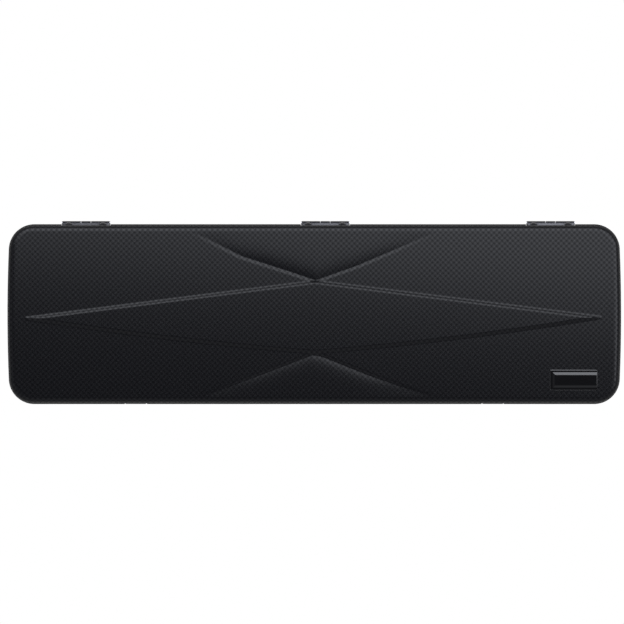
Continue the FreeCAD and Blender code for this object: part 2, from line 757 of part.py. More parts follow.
# The field beyond two creases slopes down from the lid's long edge to the diamond
def make_crease_cutter(name, shares, side):
    body = new_body(name)
    outline = new_sketch(body, "field", PLAN, f"{lid_top} - 2 * overrun")
    points = [(f"{x} * {half_length}", f"{y} * {half_depth}") for x, y in shares]
    add_polygon(outline, points)
    pad(body, outline, "3 * overrun")
    crown = "lid_crown_radius"
    near = diamond_back if side > 0 else diamond_front
    line = f"({half_depth} - crease_edge_gap)"
    outer_drop = f"({crown} - sqrt({crown} ^ 2 - {line} ^ 2))"
    inner_drop = f"({crown} - sqrt({crown} ^ 2 - {near} ^ 2) + crease_depth)"
    slope = f"(({inner_drop} - {outer_drop}) / ({line} - {near}))"
    centre_level = f"({lid_top} - {outer_drop} - {slope} * {line})"
    edge_level = f"({lid_top} - {outer_drop} + {slope} * crease_edge_gap)"
    below = f"({lid_top} - 3 * overrun)"
    sketch = new_sketch(body, "slope", SIDE)
    edge = f"{side} * {half_depth}"
    add_polygon(sketch, [("0", below), (edge, below), (edge, edge_level), ("0", centre_level)])
    pocket(body, sketch, "2 * case_length", midplane=True)
    return body


# Places a piece on the lid's crowned top where the badge sits, level with its seat's floor
def place_on_badge_seat(item):
    radius = "lid_crown_radius"
    share = f"(({half_depth} - badge_side_gap) / {radius})"
    inner = f"({radius} - badge_seat)"
    height = f"{lid_top} - {radius} + {inner} * sqrt(1 - {share} ^ 2)"
    x = f"({half_length} - badge_end_gap)"
    place(item, x, f"-{inner} * {share}", height, X_AXIS, f"asin({share})")


def badge_block(name, growth, thickness):
    body = new_body(name)
    sketch = new_sketch(body, "face")
    half_x = f"(badge_length / 2 + {growth})"
    half_y = f"(badge_width / 2 + {growth})"
    add_rectangle(sketch, f"-{half_x}", f"-{half_y}", half_x, half_y)
    pad(body, sketch, thickness)
    corner = f"(badge_corner_radius + {growth})"
    fillet(body, "corners", lambda edge: edge.BoundBox.ZLength > SAME, corner)
    return body


def make_badge():
    body = badge_block("badge_plate", "0", "badge_thickness")
    fillet(body, "edge", all_at_height("badge_thickness"), "badge_edge_radius")
    place_on_badge_seat(body)
    keep(body)


# Lid shell: arched top with the diamond and its creases, open below
def make_lid_shell():
    low = f"({parting} + web)"
    block = domed_block("lid_block", "bead_width", low, lid_top, "lid_crown_radius", "lid_edge_radius")
    cut_latch_notches(block, f"({parting} - overrun)", f"({parting} + notch_rise)")
    hole = "(rivet_radius + pin_clearance)"
    centres = rivet_centres(f"{parting} + rivet_height")
    holes_along_y(block, "rivet_holes", centres, hole, f"{leaf_back} - 2 * wall", half_depth)
    inner_top = f"({lid_top} - wall)"
    inner_sizes = (inner_top, "(lid_crown_radius - wall)", "(lid_edge_radius - wall)")
    cavity = domed_block("lid_cavity", shell_inside, f"({low} - overrun)", *inner_sizes)
    raised = doc.addObject("Part::Fuse", "lid_with_diamond")
    raised.Base = block
    raised.Tool = make_diamond()
    back = make_crease_cutter("back_crease_cutter", back_crease_shares, 1)
    front = make_crease_cutter("front_crease_cutter", front_crease_shares, -1)
    seat = badge_block("badge_seat_cutter", "seat_clearance", "badge_thickness + overrun")
    place_on_badge_seat(seat)
    creased = cut("lid_creased_back", raised, back)
    creased = cut("lid_creased", creased, front)
    hollow = cut("lid_hollow", creased, cavity)
    shell = cut("lid_shell", hollow, seat)
    keep(shell)


def cut(name, base, tool):
    item = doc.addObject("Part::Cut", name)
    item.Label = name
    item.Base = base
    item.Tool = tool
    doc.recompute()
    if not 0 < item.Shape.Volume < base.Shape.Volume:
        raise RuntimeError(f"{name} cuts nothing")
    return item


# One hinge leaf: a plate on the wall, feet at its knuckles, rivet seats and a pin hole.
# The direction is 1 for the lid's leaf and -1 for the base's.
def make_leaf(name, middle, direction, knuckles):
    body = new_body(name)
    levels = [f"({parting} + {direction} * leaf_foot)", f"({parting} + {direction} * leaf_height)"]
    if direction < 0:
        levels.reverse()
    low_corner = (f"{middle} - hinge_width / 2", leaf_back, levels[0])
    high_corner = (f"{middle} + hinge_width / 2", leaf_front, levels[1])
    box_between(body, "plate", low_corner, high_corner)
    far = f"{parting} + {direction} * leaf_height"
    fillet(body, "corners", far_corners(middle, far), "leaf_foot / 2")
    for number, (start, end) in enumerate(knuckles, start=1):
        foot_levels = [parting, f"({parting} + {direction} * leaf_foot)"]
        if direction < 0:
            foot_levels.reverse()
        low_corner = (f"{middle} + {start}", leaf_back, foot_levels[0])
        high_corner = (f"{middle} + {end}", leaf_front, foot_levels[1])
        box_between(body, f"foot_{number}", low_corner, high_corner)
        span = (f"{middle} + {start}", f"{middle} + {end}")
        round_along_x(body, f"knuckle_{number}", hinge_axis_y, parting, "barrel_radius", *span)
    hole = "(hinge_pin_radius + pin_clearance)"
    span = (f"{middle} - hinge_width / 2 - overrun", f"{middle} + hinge_width / 2 + overrun")
    hole_along_x(body, "pin_hole", hinge_axis_y, parting, hole, *span)
    height = f"{parting} + {direction} * rivet_height"
    centres = pair_centres([middle], "rivet_spacing", height)
    span = (f"({leaf_front} - rivet_seat_depth)", f"({leaf_front} + overrun)")
    holes_along_y(body, "rivet_seats", centres, "rivet_seat_radius", *span)
    rivet_hole = "(rivet_radius + pin_clearance)"
    holes_along_y(body, "rivet_holes", centres, rivet_hole, f"({leaf_back} - overrun)", f"{leaf_front}")
    return keep(body)


def far_corners(middle, level):
    height = value(level)
    centre = value(middle)
    half = value("hinge_width / 2")

    def chosen(edge):
        box = edge.BoundBox
        at_level = abs(box.ZMin - height) < SAME and abs(box.ZMax - height) < SAME
        upright = abs(box.XMin - box.XMax) < SAME
        return at_level and upright and abs(abs(box.XMin - centre) - half) < SAME

    return chosen


def make_hinges():
    inner = "(knuckle_width / 2)"
    outer = "(knuckle_width / 2 + knuckle_gap)"
    half = "hinge_width / 2"
    for side, middle in hinge_places.items():
        centre_knuckle = (f"(-{inner})", inner)
        left_knuckle = (f"(-{half})", f"(-{outer})")
        right_knuckle = (outer, f"({half})")
        make_leaf(f"hinge_lid_leaf_{side}", middle, 1, [centre_knuckle])
        make_leaf(f"hinge_base_leaf_{side}", middle, -1, [left_knuckle, right_knuckle])
        pin = new_body(f"hinge_pin_{side}")
        head_start = f"({half} + pin_clearance)"
        head_end = f"({head_start} + pin_head_width)"
        span = (f"{middle} - {head_end}", f"{middle} + {head_end}")
        round_along_x(pin, "shaft", hinge_axis_y, parting, "hinge_pin_radius", *span)
        span = (f"{middle} - {head_end}", f"{middle} - {head_start}")
        round_along_x(pin, "head_left", hinge_axis_y, parting, "pin_head_radius", *span)
        span = (f"{middle} + {head_start}", f"{middle} + {head_end}")
        round_along_x(pin, "head_right", hinge_axis_y, parting, "pin_head_radius", *span)
        keep(pin)


# A rivet or screw along Z: domed head above the XY plane, shank below, and a tail where it has one
def make_fastener(name, shank, head, dome, length, tail="0", tail_height="0"):
    body = new_body(name)
    shaft = new_sketch(body, "shank")
    add_circle(shaft, "0", "0", shank)
    pad(body, shaft, f"{length} + {tail_height}", backwards=True)
    cap = new_sketch(body, "dome", FRONT)
    ball = f"(({head} ^ 2 + {dome} ^ 2) / (2 * {dome}))"
    size = value(ball)
    centre = FreeCAD.Vector(0, value(dome) - size, 0)
    start = math.atan2(-centre.y, value(head))
    circle = Part.Circle(centre, Z_AXIS, size)
    arc = cap.addGeometry(Part.ArcOfCircle(circle, start, math.pi / 2))
    tip = FreeCAD.Vector(0, value(dome), 0)
    rim = FreeCAD.Vector(value(head), 0, 0)
    upright = cap.addGeometry(Part.LineSegment(tip, FreeCAD.Vector()))
    flat = cap.addGeometry(Part.LineSegment(FreeCAD.Vector(), rim))
    cap.addConstraint(Sketcher.Constraint("Coincident", arc, 2, upright, 1))
    cap.addConstraint(Sketcher.Constraint("Coincident", upright, 2, flat, 1))
    cap.addConstraint(Sketcher.Constraint("Coincident", flat, 2, arc, 1))
    cap.addConstraint(Sketcher.Constraint("Coincident", flat, 1, -1, 1))
    cap.addConstraint(Sketcher.Constraint("Vertical", upright))
    cap.addConstraint(Sketcher.Constraint("Horizontal", flat))
    cap.addConstraint(Sketcher.Constraint("PointOnObject", arc, 3, -2))
    fix(cap, "DistanceX", flat, 2, head)
    fix(cap, "DistanceY", upright, 1, dome)
    turned = body.newObject("PartDesign::Revolution", f"{name}_head")
    turned.Profile = cap
    turned.ReferenceAxis = (cap, ["V_Axis"])
    turned.Angle = 4 * QUARTER
    if tail != "0":
        foot = new_sketch(body, "tail", PLAN, f"-({length} + {tail_height})")
        add_circle(foot, "0", "0", tail)
        pad(body, foot, tail_height)
    doc.recompute()
    return body


# Copies of one fastener, as separate solids in one piece.
# Angle -90 points the heads to the back of the case, and 90 to its front.
def make_fastener_group(name, pattern, places, angle):
    links = []
    for number, (x, y, z) in enumerate(places, start=1):
        link = doc.addObject("App::Link", f"{name}_{number}")
        link.LinkedObject = pattern
        place(link, x, y, z, X_AXIS, str(angle))
        links.append(link)
    group = doc.addObject("Part::Compound", name)
    group.Label = name
    group.Links = links
    return keep(group)


def make_hinge_rivets():
    seat = f"({leaf_front} - rivet_seat_depth)"
    sizes = ("rivet_radius", "rivet_head_radius", "rivet_head_height")
    tail = ("rivet_tail_radius", "rivet_tail_height")
    lid_length = f"({seat} - ({half_depth} - {lid_lip_inside}))"
    lid_rivet = make_fastener("lid_rivet_pattern", *sizes, lid_length, *tail)
    places = [(x, seat, z) for x, z in rivet_centres(f"{parting} + rivet_height")]
    make_fastener_group("hinge_lid_rivets", lid_rivet, places, -QUARTER)
    base_length = f"({seat} - ({half_depth} - {shell_inside}))"
    base_rivet = make_fastener("base_rivet_pattern", *sizes, base_length, *tail)
    places = [(x, seat, z) for x, z in rivet_centres(f"{parting} - rivet_height")]
    make_fastener_group("hinge_base_rivets", base_rivet, places, -QUARTER)


# Latches: a riveted plate with two ears, a lever on two stub pins, and a claw on the lever
def latch_ear(body, name, middle, side):
    inner = f"{middle} + {side} * (lever_width / 2 - cheek - cheek_gap - cheek)"
    outer = f"{middle} + {side} * (lever_width / 2 - cheek - cheek_gap)"
    low_x, high_x = (inner, outer) if side > 0 else (outer, inner)
    low_corner = (low_x, lever_pivot_y, f"({lever_pivot_z} - 2 * ear_radius)")
    high_corner = (high_x, f"({latch_floor_y} - latch_plate)", lever_pivot_z)
    box_between(body, f"{name}_web", low_corner, high_corner)
    round_along_x(body, f"{name}_end", lever_pivot_y, lever_pivot_z, "ear_radius", low_x, high_x)


def make_latch(side, middle):
    half_plate = "(lever_width / 2 - cheek - cheek_gap)"
    face_y = f"({latch_floor_y} - latch_plate)"
    pin_hole = "(latch_pin_radius + pin_clearance)"
    plate = new_body(f"latch_plate_{side}")
    span = (f"{middle} - lever_width", f"{middle} + lever_width")
    low_corner = (f"{middle} - {half_plate}", face_y, f"({lever_pivot_z} - latch_plate_bottom)")
    high_corner = (f"{middle} + {half_plate}", latch_floor_y, f"({lever_pivot_z} + latch_plate_top)")
    box_between(plate, "back", low_corner, high_corner)
    latch_ear(plate, "ear_left", middle, -1)
    latch_ear(plate, "ear_right", middle, 1)
    hole_along_x(plate, "pin_hole", lever_pivot_y, lever_pivot_z, pin_hole, *span)
    small_hole = "(small_rivet_radius + pin_clearance)"
    span = (f"({face_y} - overrun)", f"({latch_floor_y} + overrun)")
    holes_along_y(plate, "rivet_holes", latch_rivet_centres([middle]), small_hole, *span)
    keep(plate)

    lever = new_body(f"latch_lever_{side}")
    skin_y = f"(lever_inset - {half_depth})"
    skin_back = f"({skin_y} + lever_skin)"
    top = f"({lever_pivot_z} + lever_top)"
    low_corner = (f"{middle} - lever_width / 2", skin_y, f"({lever_pivot_z} - lever_reach)")
    high_corner = (f"{middle} + lever_width / 2", skin_back, top)
    box_between(lever, "skin", low_corner, high_corner)
    cheek_back = f"(cheek_depth - {half_depth})"
    cheek_low = f"({claw_pivot_z} - window_margin)"
    for name, start, end in (("left", "-lever_width / 2", "-lever_width / 2 + cheek"),
                             ("right", "lever_width / 2 - cheek", "lever_width / 2")):
        low_corner = (f"{middle} + {start}", skin_back, cheek_low)
        high_corner = (f"{middle} + {end}", cheek_back, top)
        box_between(lever, f"cheek_{name}", low_corner, high_corner)
    half_window = "(claw_width / 2 + window_gap)"
    low_corner = (f"{middle} - {half_window}", f"({skin_y} - overrun)", cheek_low)
    high_corner = (f"{middle} + {half_window}", skin_back, f"({top} + overrun)")
    cut_between(lever, "window", low_corner, high_corner)
    span = (f"{middle} - lever_width", f"{middle} + lever_width")
    hole_along_x(lever, "lever_pin_hole", lever_pivot_y, lever_pivot_z, pin_hole, *span)
    hole_along_x(lever, "claw_pin_hole", claw_pivot_y, claw_pivot_z, pin_hole, *span)
    keep(lever)

    pins = new_body(f"lever_pin_pattern_{side}")
    inner = "(lever_width / 2 - cheek - cheek_gap - cheek)"
    outer = "(lever_width / 2 + pin_clearance)"
    round_along_x(pins, "stub", "0", "0", "latch_pin_radius", inner, outer)
    head_end = f"({outer} + latch_pin_head_width)"
    round_along_x(pins, "stub_head", "0", "0", "latch_pin_head_radius", outer, head_end)
    doc.recompute()
    links = []
    for number, turn in ((1, "0"), (2, "2 * 90")):
        link = doc.addObject("App::Link", f"lever_pin_{side}_{number}")
        link.LinkedObject = pins
        place(link, middle, lever_pivot_y, lever_pivot_z, Z_AXIS, turn)
        links.append(link)
    pair = doc.addObject("Part::Compound", f"lever_pins_{side}")
    pair.Label = f"lever_pins_{side}"
    pair.Links = links
    keep(pair)

    claw = new_body(f"latch_claw_{side}")
    profile = new_sketch(claw, "profile", SIDE, f"{middle} - claw_width / 2")
    inner_low = f"(claw_inset + claw_thickness - {half_depth})"
    outer_low = f"(claw_inset - {half_depth})"
    inner_top = f"(claw_top_inset + claw_thickness - {half_depth})"
    outer_top = f"(claw_top_inset - {half_depth})"
    nose_tip = f"({keeper_lip_y} - keeper_clearance)"
    jog_start = f"({parting} - claw_jog_start)"
    jog_end = f"({parting} - claw_jog_end)"
    nose_low = f"({parting} + claw_rise - claw_nose)"
    claw_top = f"({parting} + claw_rise)"
    points = [(inner_low, claw_pivot_z), (inner_low, jog_start), (inner_top, jog_end)]
    points += [(inner_top, nose_low), (nose_tip, nose_low), (nose_tip, claw_top), (outer_top, claw_top)]
    points += [(outer_top, jog_end), (outer_low, jog_start), (outer_low, claw_pivot_z)]
    add_polygon(profile, points)
    pad(claw, profile, "claw_width")
    span = (f"{middle} - claw_width / 2", f"{middle} + claw_width / 2")
    round_along_x(claw, "knuckle", claw_pivot_y, claw_pivot_z, "claw_knuckle_radius", *span)
    hole_along_x(claw, "pin_hole", claw_pivot_y, claw_pivot_z, pin_hole,
                 f"{middle} - lever_width", f"{middle} + lever_width")
    keep(claw)

    claw_pin = new_body(f"claw_pin_{side}")
    end = "(lever_width / 2 + pin_clearance)"
    round_along_x(claw_pin, "shaft", claw_pivot_y, claw_pivot_z, "latch_pin_radius",
                  f"{middle} - {end}", f"{middle} + {end}")
    keep(claw_pin)

    keeper = new_body(f"latch_keeper_{side}")
    back_y = f"({shell_inside} - {half_depth})"
    left = f"{middle} - keeper_width / 2"
    high_corner = (f"{middle} + keeper_width / 2", back_y, f"({parting} + keeper_lip_low + keeper_lip)")
    low_corner = (left, f"({back_y} - keeper_plate)", f"({parting} + keeper_low)")
    box_between(keeper, "plate", low_corner, high_corner)
    box_between(keeper, "lip", (left, keeper_lip_y, f"({parting} + keeper_lip_low)"), high_corner)
    span = (f"-{half_depth}", f"({back_y} + overrun)")
    holes_along_y(keeper, "rivet_holes", keeper_rivet_centres([middle]), small_hole, *span)
    keep(keeper)


def make_latches():
    for side, middle in latch_places.items():
        make_latch(side, middle)
    sizes = ("small_rivet_radius", "small_rivet_head_radius", "small_rivet_head_height")
    tail = ("small_rivet_head_radius", "small_rivet_head_height")
    plate_rivet = make_fastener("latch_rivet_pattern", *sizes, "(latch_plate + wall)", *tail)
    seat = f"({latch_floor_y} - latch_plate)"
    places = [(x, seat, z) for x, z in latch_rivet_centres(latch_places.values())]
    make_fastener_group("latch_plate_rivets", plate_rivet, places, QUARTER)
    keeper_rivet = make_fastener("keeper_rivet_pattern", *sizes, "(keeper_plate + lip_width)", *tail)
    seat = f"({shell_inside} - {half_depth} - keeper_plate)"
    places = [(x, seat, z) for x, z in keeper_rivet_centres(latch_places.values())]
    make_fastener_group("keeper_rivets", keeper_rivet, places, QUARTER)


# Carrying handle: a bail with a soft grip, folded down into its recess, on two screwed brackets
handle_pivot_y = f"(handle_pivot_inset - {half_depth})"
handle_bar_z = "(handle_pivot_height - handle_drop)"
arm_outer = "(handle_arm_span / 2)"
arm_inner = "(handle_arm_span / 2 - handle_arm_width)"
ear_inner = f"({arm_outer} + bracket_gap)"
ear_outer = f"({ear_inner} + bracket_thickness)"
screw_place_x = f"({ear_outer} + bracket_flange - screw_edge)"
screw_top_z = "(handle_pivot_height + bracket_rise - screw_edge)"


def make_handle():
    frame = new_body("handle_frame")
    whole = (f"-{arm_outer}", arm_outer)
    round_along_x(frame, "bar", handle_pivot_y, handle_bar_z, "handle_bar_radius", *whole)
    arms = (("left", f"-{arm_outer}", f"-{arm_inner}"), ("right", arm_inner, arm_outer))
    for name, low_x, high_x in arms:
        low_corner = (low_x, f"({handle_pivot_y} - handle_arm_radius)", handle_bar_z)
        high_corner = (high_x, f"({handle_pivot_y} + handle_arm_radius)", "handle_pivot_height")
        box_between(frame, f"arm_{name}", low_corner, high_corner)
        radius = "handle_arm_radius"
        pivot_z = "handle_pivot_height"
        round_along_x(frame, f"eye_{name}", handle_pivot_y, pivot_z, radius, low_x, high_x)
        round_along_x(frame, f"foot_{name}", handle_pivot_y, handle_bar_z, radius, low_x, high_x)
    pin_hole = "(handle_pin_radius + pin_clearance)"
    span = ("-handle_arm_span", "handle_arm_span")
    hole_along_x(frame, "pin_hole", handle_pivot_y, "handle_pivot_height", pin_hole, *span)
    keep(frame)

    grip = new_body("handle_grip")
    half = f"({arm_inner} - grip_end_gap)"
    ends = []
    for sign in "-+":
        y = f"({handle_pivot_y} {sign} grip_depth / 2)"
        z = f"({handle_bar_z} {sign} grip_height / 2)"
        ends.append((f"{sign}{half}", y, z))
    box_between(grip, "block", *ends)
    long_edge = value(half)
    fillet(grip, "edges", lambda edge: edge.BoundBox.XLength > long_edge, "grip_edge_radius")
    bar_hole = "(handle_bar_radius + pin_clearance)"
    hole_along_x(grip, "bar_hole", handle_pivot_y, handle_bar_z, bar_hole, *span)
    keep(grip)

    pattern = new_body("handle_pin_pattern")
    inner_head = f"({arm_inner} - pin_clearance)"
    outer_head = f"({ear_outer} + pin_clearance)"
    round_along_x(pattern, "shaft", "0", "0", "handle_pin_radius", inner_head, outer_head)
    start = f"({inner_head} - handle_pin_head_width)"
    round_along_x(pattern, "inner_head", "0", "0", "handle_pin_head_radius", start, inner_head)
    end = f"({outer_head} + handle_pin_head_width)"
    round_along_x(pattern, "outer_head", "0", "0", "handle_pin_head_radius", outer_head, end)
    doc.recompute()
    links = []
    for number, turn in ((1, "0"), (2, "2 * 90")):
        link = doc.addObject("App::Link", f"handle_pin_{number}")
        link.LinkedObject = pattern
        place(link, "0", handle_pivot_y, "handle_pivot_height", Z_AXIS, turn)
        links.append(link)
    pins = doc.addObject("Part::Compound", "handle_pins")
    pins.Label = "handle_pins"
    pins.Links = links
    keep(pins)

    for name, side in (("left", -1), ("right", 1)):
        bracket = new_body(f"handle_bracket_{name}")

        def across(inner, outer):
            return (f"{side} * {inner}", f"{side} * {outer}")[::side]

        ear_low, ear_high = across(ear_inner, ear_outer)
        flange_low, flange_high = across(ear_inner, f"({ear_outer} + bracket_flange)")
        face_y = f"({handle_floor_y} - bracket_thickness)"
        top = "(handle_pivot_height + bracket_rise)"
        low_corner = (flange_low, face_y, f"({top} - bracket_height)")
        box_between(bracket, "flange", low_corner, (flange_high, handle_floor_y, top))
        low_corner = (ear_low, handle_pivot_y, "(handle_pivot_height - bracket_ear_radius)")
        high_corner = (ear_high, face_y, "(handle_pivot_height + bracket_ear_radius)")
        box_between(bracket, "ear_web", low_corner, high_corner)
        eye = (handle_pivot_y, "handle_pivot_height", "bracket_ear_radius")
        round_along_x(bracket, "ear_end", *eye, ear_low, ear_high)
        hole_along_x(bracket, "pin_hole", handle_pivot_y, "handle_pivot_height", pin_hole, *span)
        screw_hole = "(screw_radius + pin_clearance)"
        depth = (f"({face_y} - overrun)", f"({handle_floor_y} + wall)")
        holes_along_y(bracket, "screw_holes", screw_centres(side), screw_hole, *depth)
        keep(bracket)
    sizes = ("screw_radius", "screw_head_radius", "screw_head_height")
    length = "(bracket_thickness + wall + screw_tip)"
    screw = make_fastener("bracket_screw_pattern", *sizes, length)
    seat = f"({handle_floor_y} - bracket_thickness)"
    places = [(x, seat, z) for x, z in screw_centres(-1) + screw_centres(1)]
    make_fastener_group("handle_bracket_screws", screw, places, QUARTER)


def make_feet():
    pattern = new_body("foot_pattern")
    sketch = new_sketch(pattern, "disc")
    add_circle(sketch, "0", "0", "foot_radius")
    pad(pattern, sketch, "foot_height")
    fillet(pattern, "edge", all_at_height("0"), "foot_edge_radius")
    reach_x = f"({half_length} - foot_end_gap)"
    reach_y = f"({half_depth} - foot_side_gap)"
    places = [(f"{x} * {reach_x}", f"{y} * {reach_y}", "0") for x in (-1, 1) for y in (-1, 1)]
    make_fastener_group("rubber_feet", pattern, places, 0)


# Troughs for the three joints of a flute, their key bays, a cleaning rod and small things.
# Each is named with its left and right ends, middle line, width and depth.
troughs = {
    "body": ("-flute_end", "body_trough_right", "-body_centre", "joint_trough_width", "joint_trough_depth"),
    "body_bay": ("-body_bay_left", "body_bay_right", "-body_centre", "body_bay_width", "body_bay_depth"),
    "head": ("-flute_end", "head_trough_right", "head_centre", "joint_trough_width", "joint_trough_depth"),
    "lip_bay": ("-lip_bay_left", "-lip_bay_right", "head_centre", "lip_bay_width", "lip_bay_depth"),
    "foot": ("foot_trough_left", "flute_end", "head_centre", "joint_trough_width", "joint_trough_depth"),
    "foot_bay": ("foot_bay_left", "foot_bay_right", "head_centre", "foot_bay_width", "foot_bay_depth"),
    "rod": ("-flute_end", "rod_trough_right", "rod_centre", "rod_trough_width", "rod_trough_depth"),
    "pocket": ("pocket_left", "pocket_right", "-body_centre", "pocket_width", "pocket_depth"),
}
corner_shares = {"body_bay": 0.3, "lip_bay": 0.3, "foot_bay": 0.3, "pocket": 0.15}


def trough_sketch(body, name, growth, top):
    left_share, right_share, centre_share, width_share, depth = troughs[name]
    left = f"{left_share} * {half_length}"
    right = f"{right_share} * {half_length}"
    centre = f"({centre_share} * {half_depth})"
    width = f"({width_share} * {half_depth})"
    share = corner_shares.get(name, "trough_share")
    sketch = new_sketch(body, name, SIDE, f"{left} - {growth}")
    corner = f"({share} * {width} + {growth})"
    floor = f"({plush_top} - {depth} - {growth})"
    add_trough(sketch, centre, f"({width} + 2 * {growth})", floor, top, corner)
    return sketch, f"{right} - ({left}) + 2 * {growth}"


# Foam block that fills the base round the troughs
def make_tray_core():
    body = new_body("tray_core")
    step = f"({parting} - tray_step_drop)"
    lower = new_sketch(body, "lower", PLAN, floor_top)
    add_outline(lower, f"({shell_inside} + tray_gap)")
    pad(body, lower, f"{step} - {floor_top}")
    fillet(body, "floor_edge", all_at_height(floor_top), "(base_edge_radius - wall)")
    upper = new_sketch(body, "upper", PLAN, step)
    add_outline(upper, f"({tongue_inside} + tray_gap)")
    pad(body, upper, f"{tray_top} - {step}")
    front = f"-{half_depth}"
    reach = f"({handle_floor_y} + wall + screw_tip + tray_gap)"
    half = f"({handle_half} + wall + tray_gap)"
    low_corner = (f"-{half}", front, f"({floor_top} - overrun)")
    cut_between(body, "handle_clearance", low_corner, (half, reach, f"({tray_top} + overrun)"))
    reach = f"({latch_floor_y} + wall + small_rivet_head_height + tray_gap)"
    half = f"({latch_half} + wall + tray_gap)"
    for side, middle in latch_places.items():
        low_corner = (f"{middle} - {half}", front, f"({floor_top} - overrun)")
        high_corner = (f"{middle} + {half}", reach, f"({tray_top} + overrun)")
        cut_between(body, f"latch_clearance_{side}", low_corner, high_corner)
    for name in troughs:
        sketch, length = trough_sketch(body, name, "(plush + seat_clearance)", f"({tray_top} + overrun)")
        pocket(body, sketch, length, backwards=True)
    keep(body)


# Plush skin over the tray and down into every trough
def make_tray_lining():
    body = new_body("tray_lining")
    sheet_sketch = new_sketch(body, "top", PLAN, tray_top)
    add_outline(sheet_sketch, f"({tongue_inside} + tray_gap)")
    pad(body, sheet_sketch, "plush")
    for name in troughs:
        sketch, length = trough_sketch(body, name, "plush", plush_top)
        sketch.Label = f"{name}_cup"
        pad(body, sketch, length)
    for name in troughs:
        sketch, length = trough_sketch(body, name, "0", f"({plush_top} + overrun)")
        pocket(body, sketch, length, backwards=True)
    keep(body)


# Padded cushion under the lid: crowned underside, rounded edges and two sewn channels
def make_lid_cushion():
    inset = f"({lid_lip_inside} + cushion_gap)"
    top = f"({lid_top} - wall - tray_gap)"
    low = f"({lid_top} - wall - cushion_thickness)"
    crown = "(lid_crown_radius - wall - tray_gap)"
    body = domed_block("lid_cushion", inset, low, top, crown, "cushion_top_radius")
    cut_above_arch(body, "underside", low, "cushion_crown_radius", sign=-1)
    highest = value(low) + value(f"{half_depth} ^ 2 / cushion_crown_radius")
    fillet(body, "lower_edge", lambda edge: edge.BoundBox.ZMax < highest, "cushion_edge_radius")
    sketch = new_sketch(body, "channels", SIDE)
    drop = "(cushion_crown_radius - sqrt(cushion_crown_radius ^ 2 - cushion_channel_place ^ 2))"
    centre_z = f"({low} + {drop} + cushion_channel_depth - cushion_channel_radius)"
    for sign in "-+":
        add_circle(sketch, f"{sign}cushion_channel_place", centre_z, "cushion_channel_radius")
    pocket(body, sketch, "2 * case_length", midplane=True)
    keep(body)


make_base_shell()
make_seal()
make_lid_shell()
for span in edge_spans:
    make_base_rim(span)
    make_lid_rim(span)
make_badge()
make_hinges()
make_hinge_rivets()
make_latches()
make_handle()
make_feet()
make_tray_core()
make_tray_lining()
make_lid_cushion()
doc.recompute()

# Nothing is written unless every object is sound
for item in doc.Objects:
    if "Invalid" in item.State or "Error" in item.State:
        raise RuntimeError(f"{item.Name} failed: {item.State}")
for item in subparts:
    if item.Shape.isNull() or not item.Shape.isValid() or not item.Shape.Solids:
        raise RuntimeError(f"{item.Label} has no sound solid")

os.makedirs("parts", exist_ok=True)
for item in subparts:
    item.Shape.exportStep(f"parts/{item.Label}.step")
    print(item.Label, len(item.Shape.Solids), "solids", round(item.Shape.Volume, 1), "mm3")
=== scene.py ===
import math

import bpy
import numpy as np
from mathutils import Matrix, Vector


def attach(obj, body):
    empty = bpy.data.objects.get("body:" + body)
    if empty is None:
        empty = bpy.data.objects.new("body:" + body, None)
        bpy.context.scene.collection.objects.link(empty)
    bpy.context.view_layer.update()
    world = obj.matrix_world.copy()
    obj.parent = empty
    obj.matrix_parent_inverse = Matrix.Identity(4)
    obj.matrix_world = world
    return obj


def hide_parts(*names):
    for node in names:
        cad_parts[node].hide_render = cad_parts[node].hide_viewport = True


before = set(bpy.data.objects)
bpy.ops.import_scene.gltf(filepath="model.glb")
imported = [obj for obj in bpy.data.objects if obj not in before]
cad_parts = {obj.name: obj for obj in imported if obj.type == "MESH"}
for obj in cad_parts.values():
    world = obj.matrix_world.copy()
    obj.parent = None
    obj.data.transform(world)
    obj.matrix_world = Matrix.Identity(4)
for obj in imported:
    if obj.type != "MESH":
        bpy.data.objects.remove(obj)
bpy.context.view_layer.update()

# A hard-shell flute case, seen from straight above with the lid closed.
# Settings are in millimetres unless a note says otherwise; meshes are made in metres.
mm = 0.001

caseSizes = {
    "halfLength": 215.0,
    "halfDepth": 63.0,
    "corner": 18.0,        # rounding of the plan outline
    "bow": 1100.0,         # radius of the slightly bowed ends
    "cornerSteps": 14,
    "endSteps": 20,
    "bead": 0.8,
    "wall": 2.4,
    "parting": 40.5,
    "web": 1.2,
}


# Outlines and grids that the pieces share

def outlineFacts(inset):
    corner = caseSizes["corner"] - inset
    bow = caseSizes["bow"] - inset
    halfY = caseSizes["halfDepth"] - inset
    bowX = caseSizes["halfLength"] - inset - bow
    cornerY = halfY - corner
    cornerX = bowX + math.sqrt((bow - corner) ** 2 - cornerY ** 2)
    return corner, bow, halfY, bowX, cornerX, cornerY


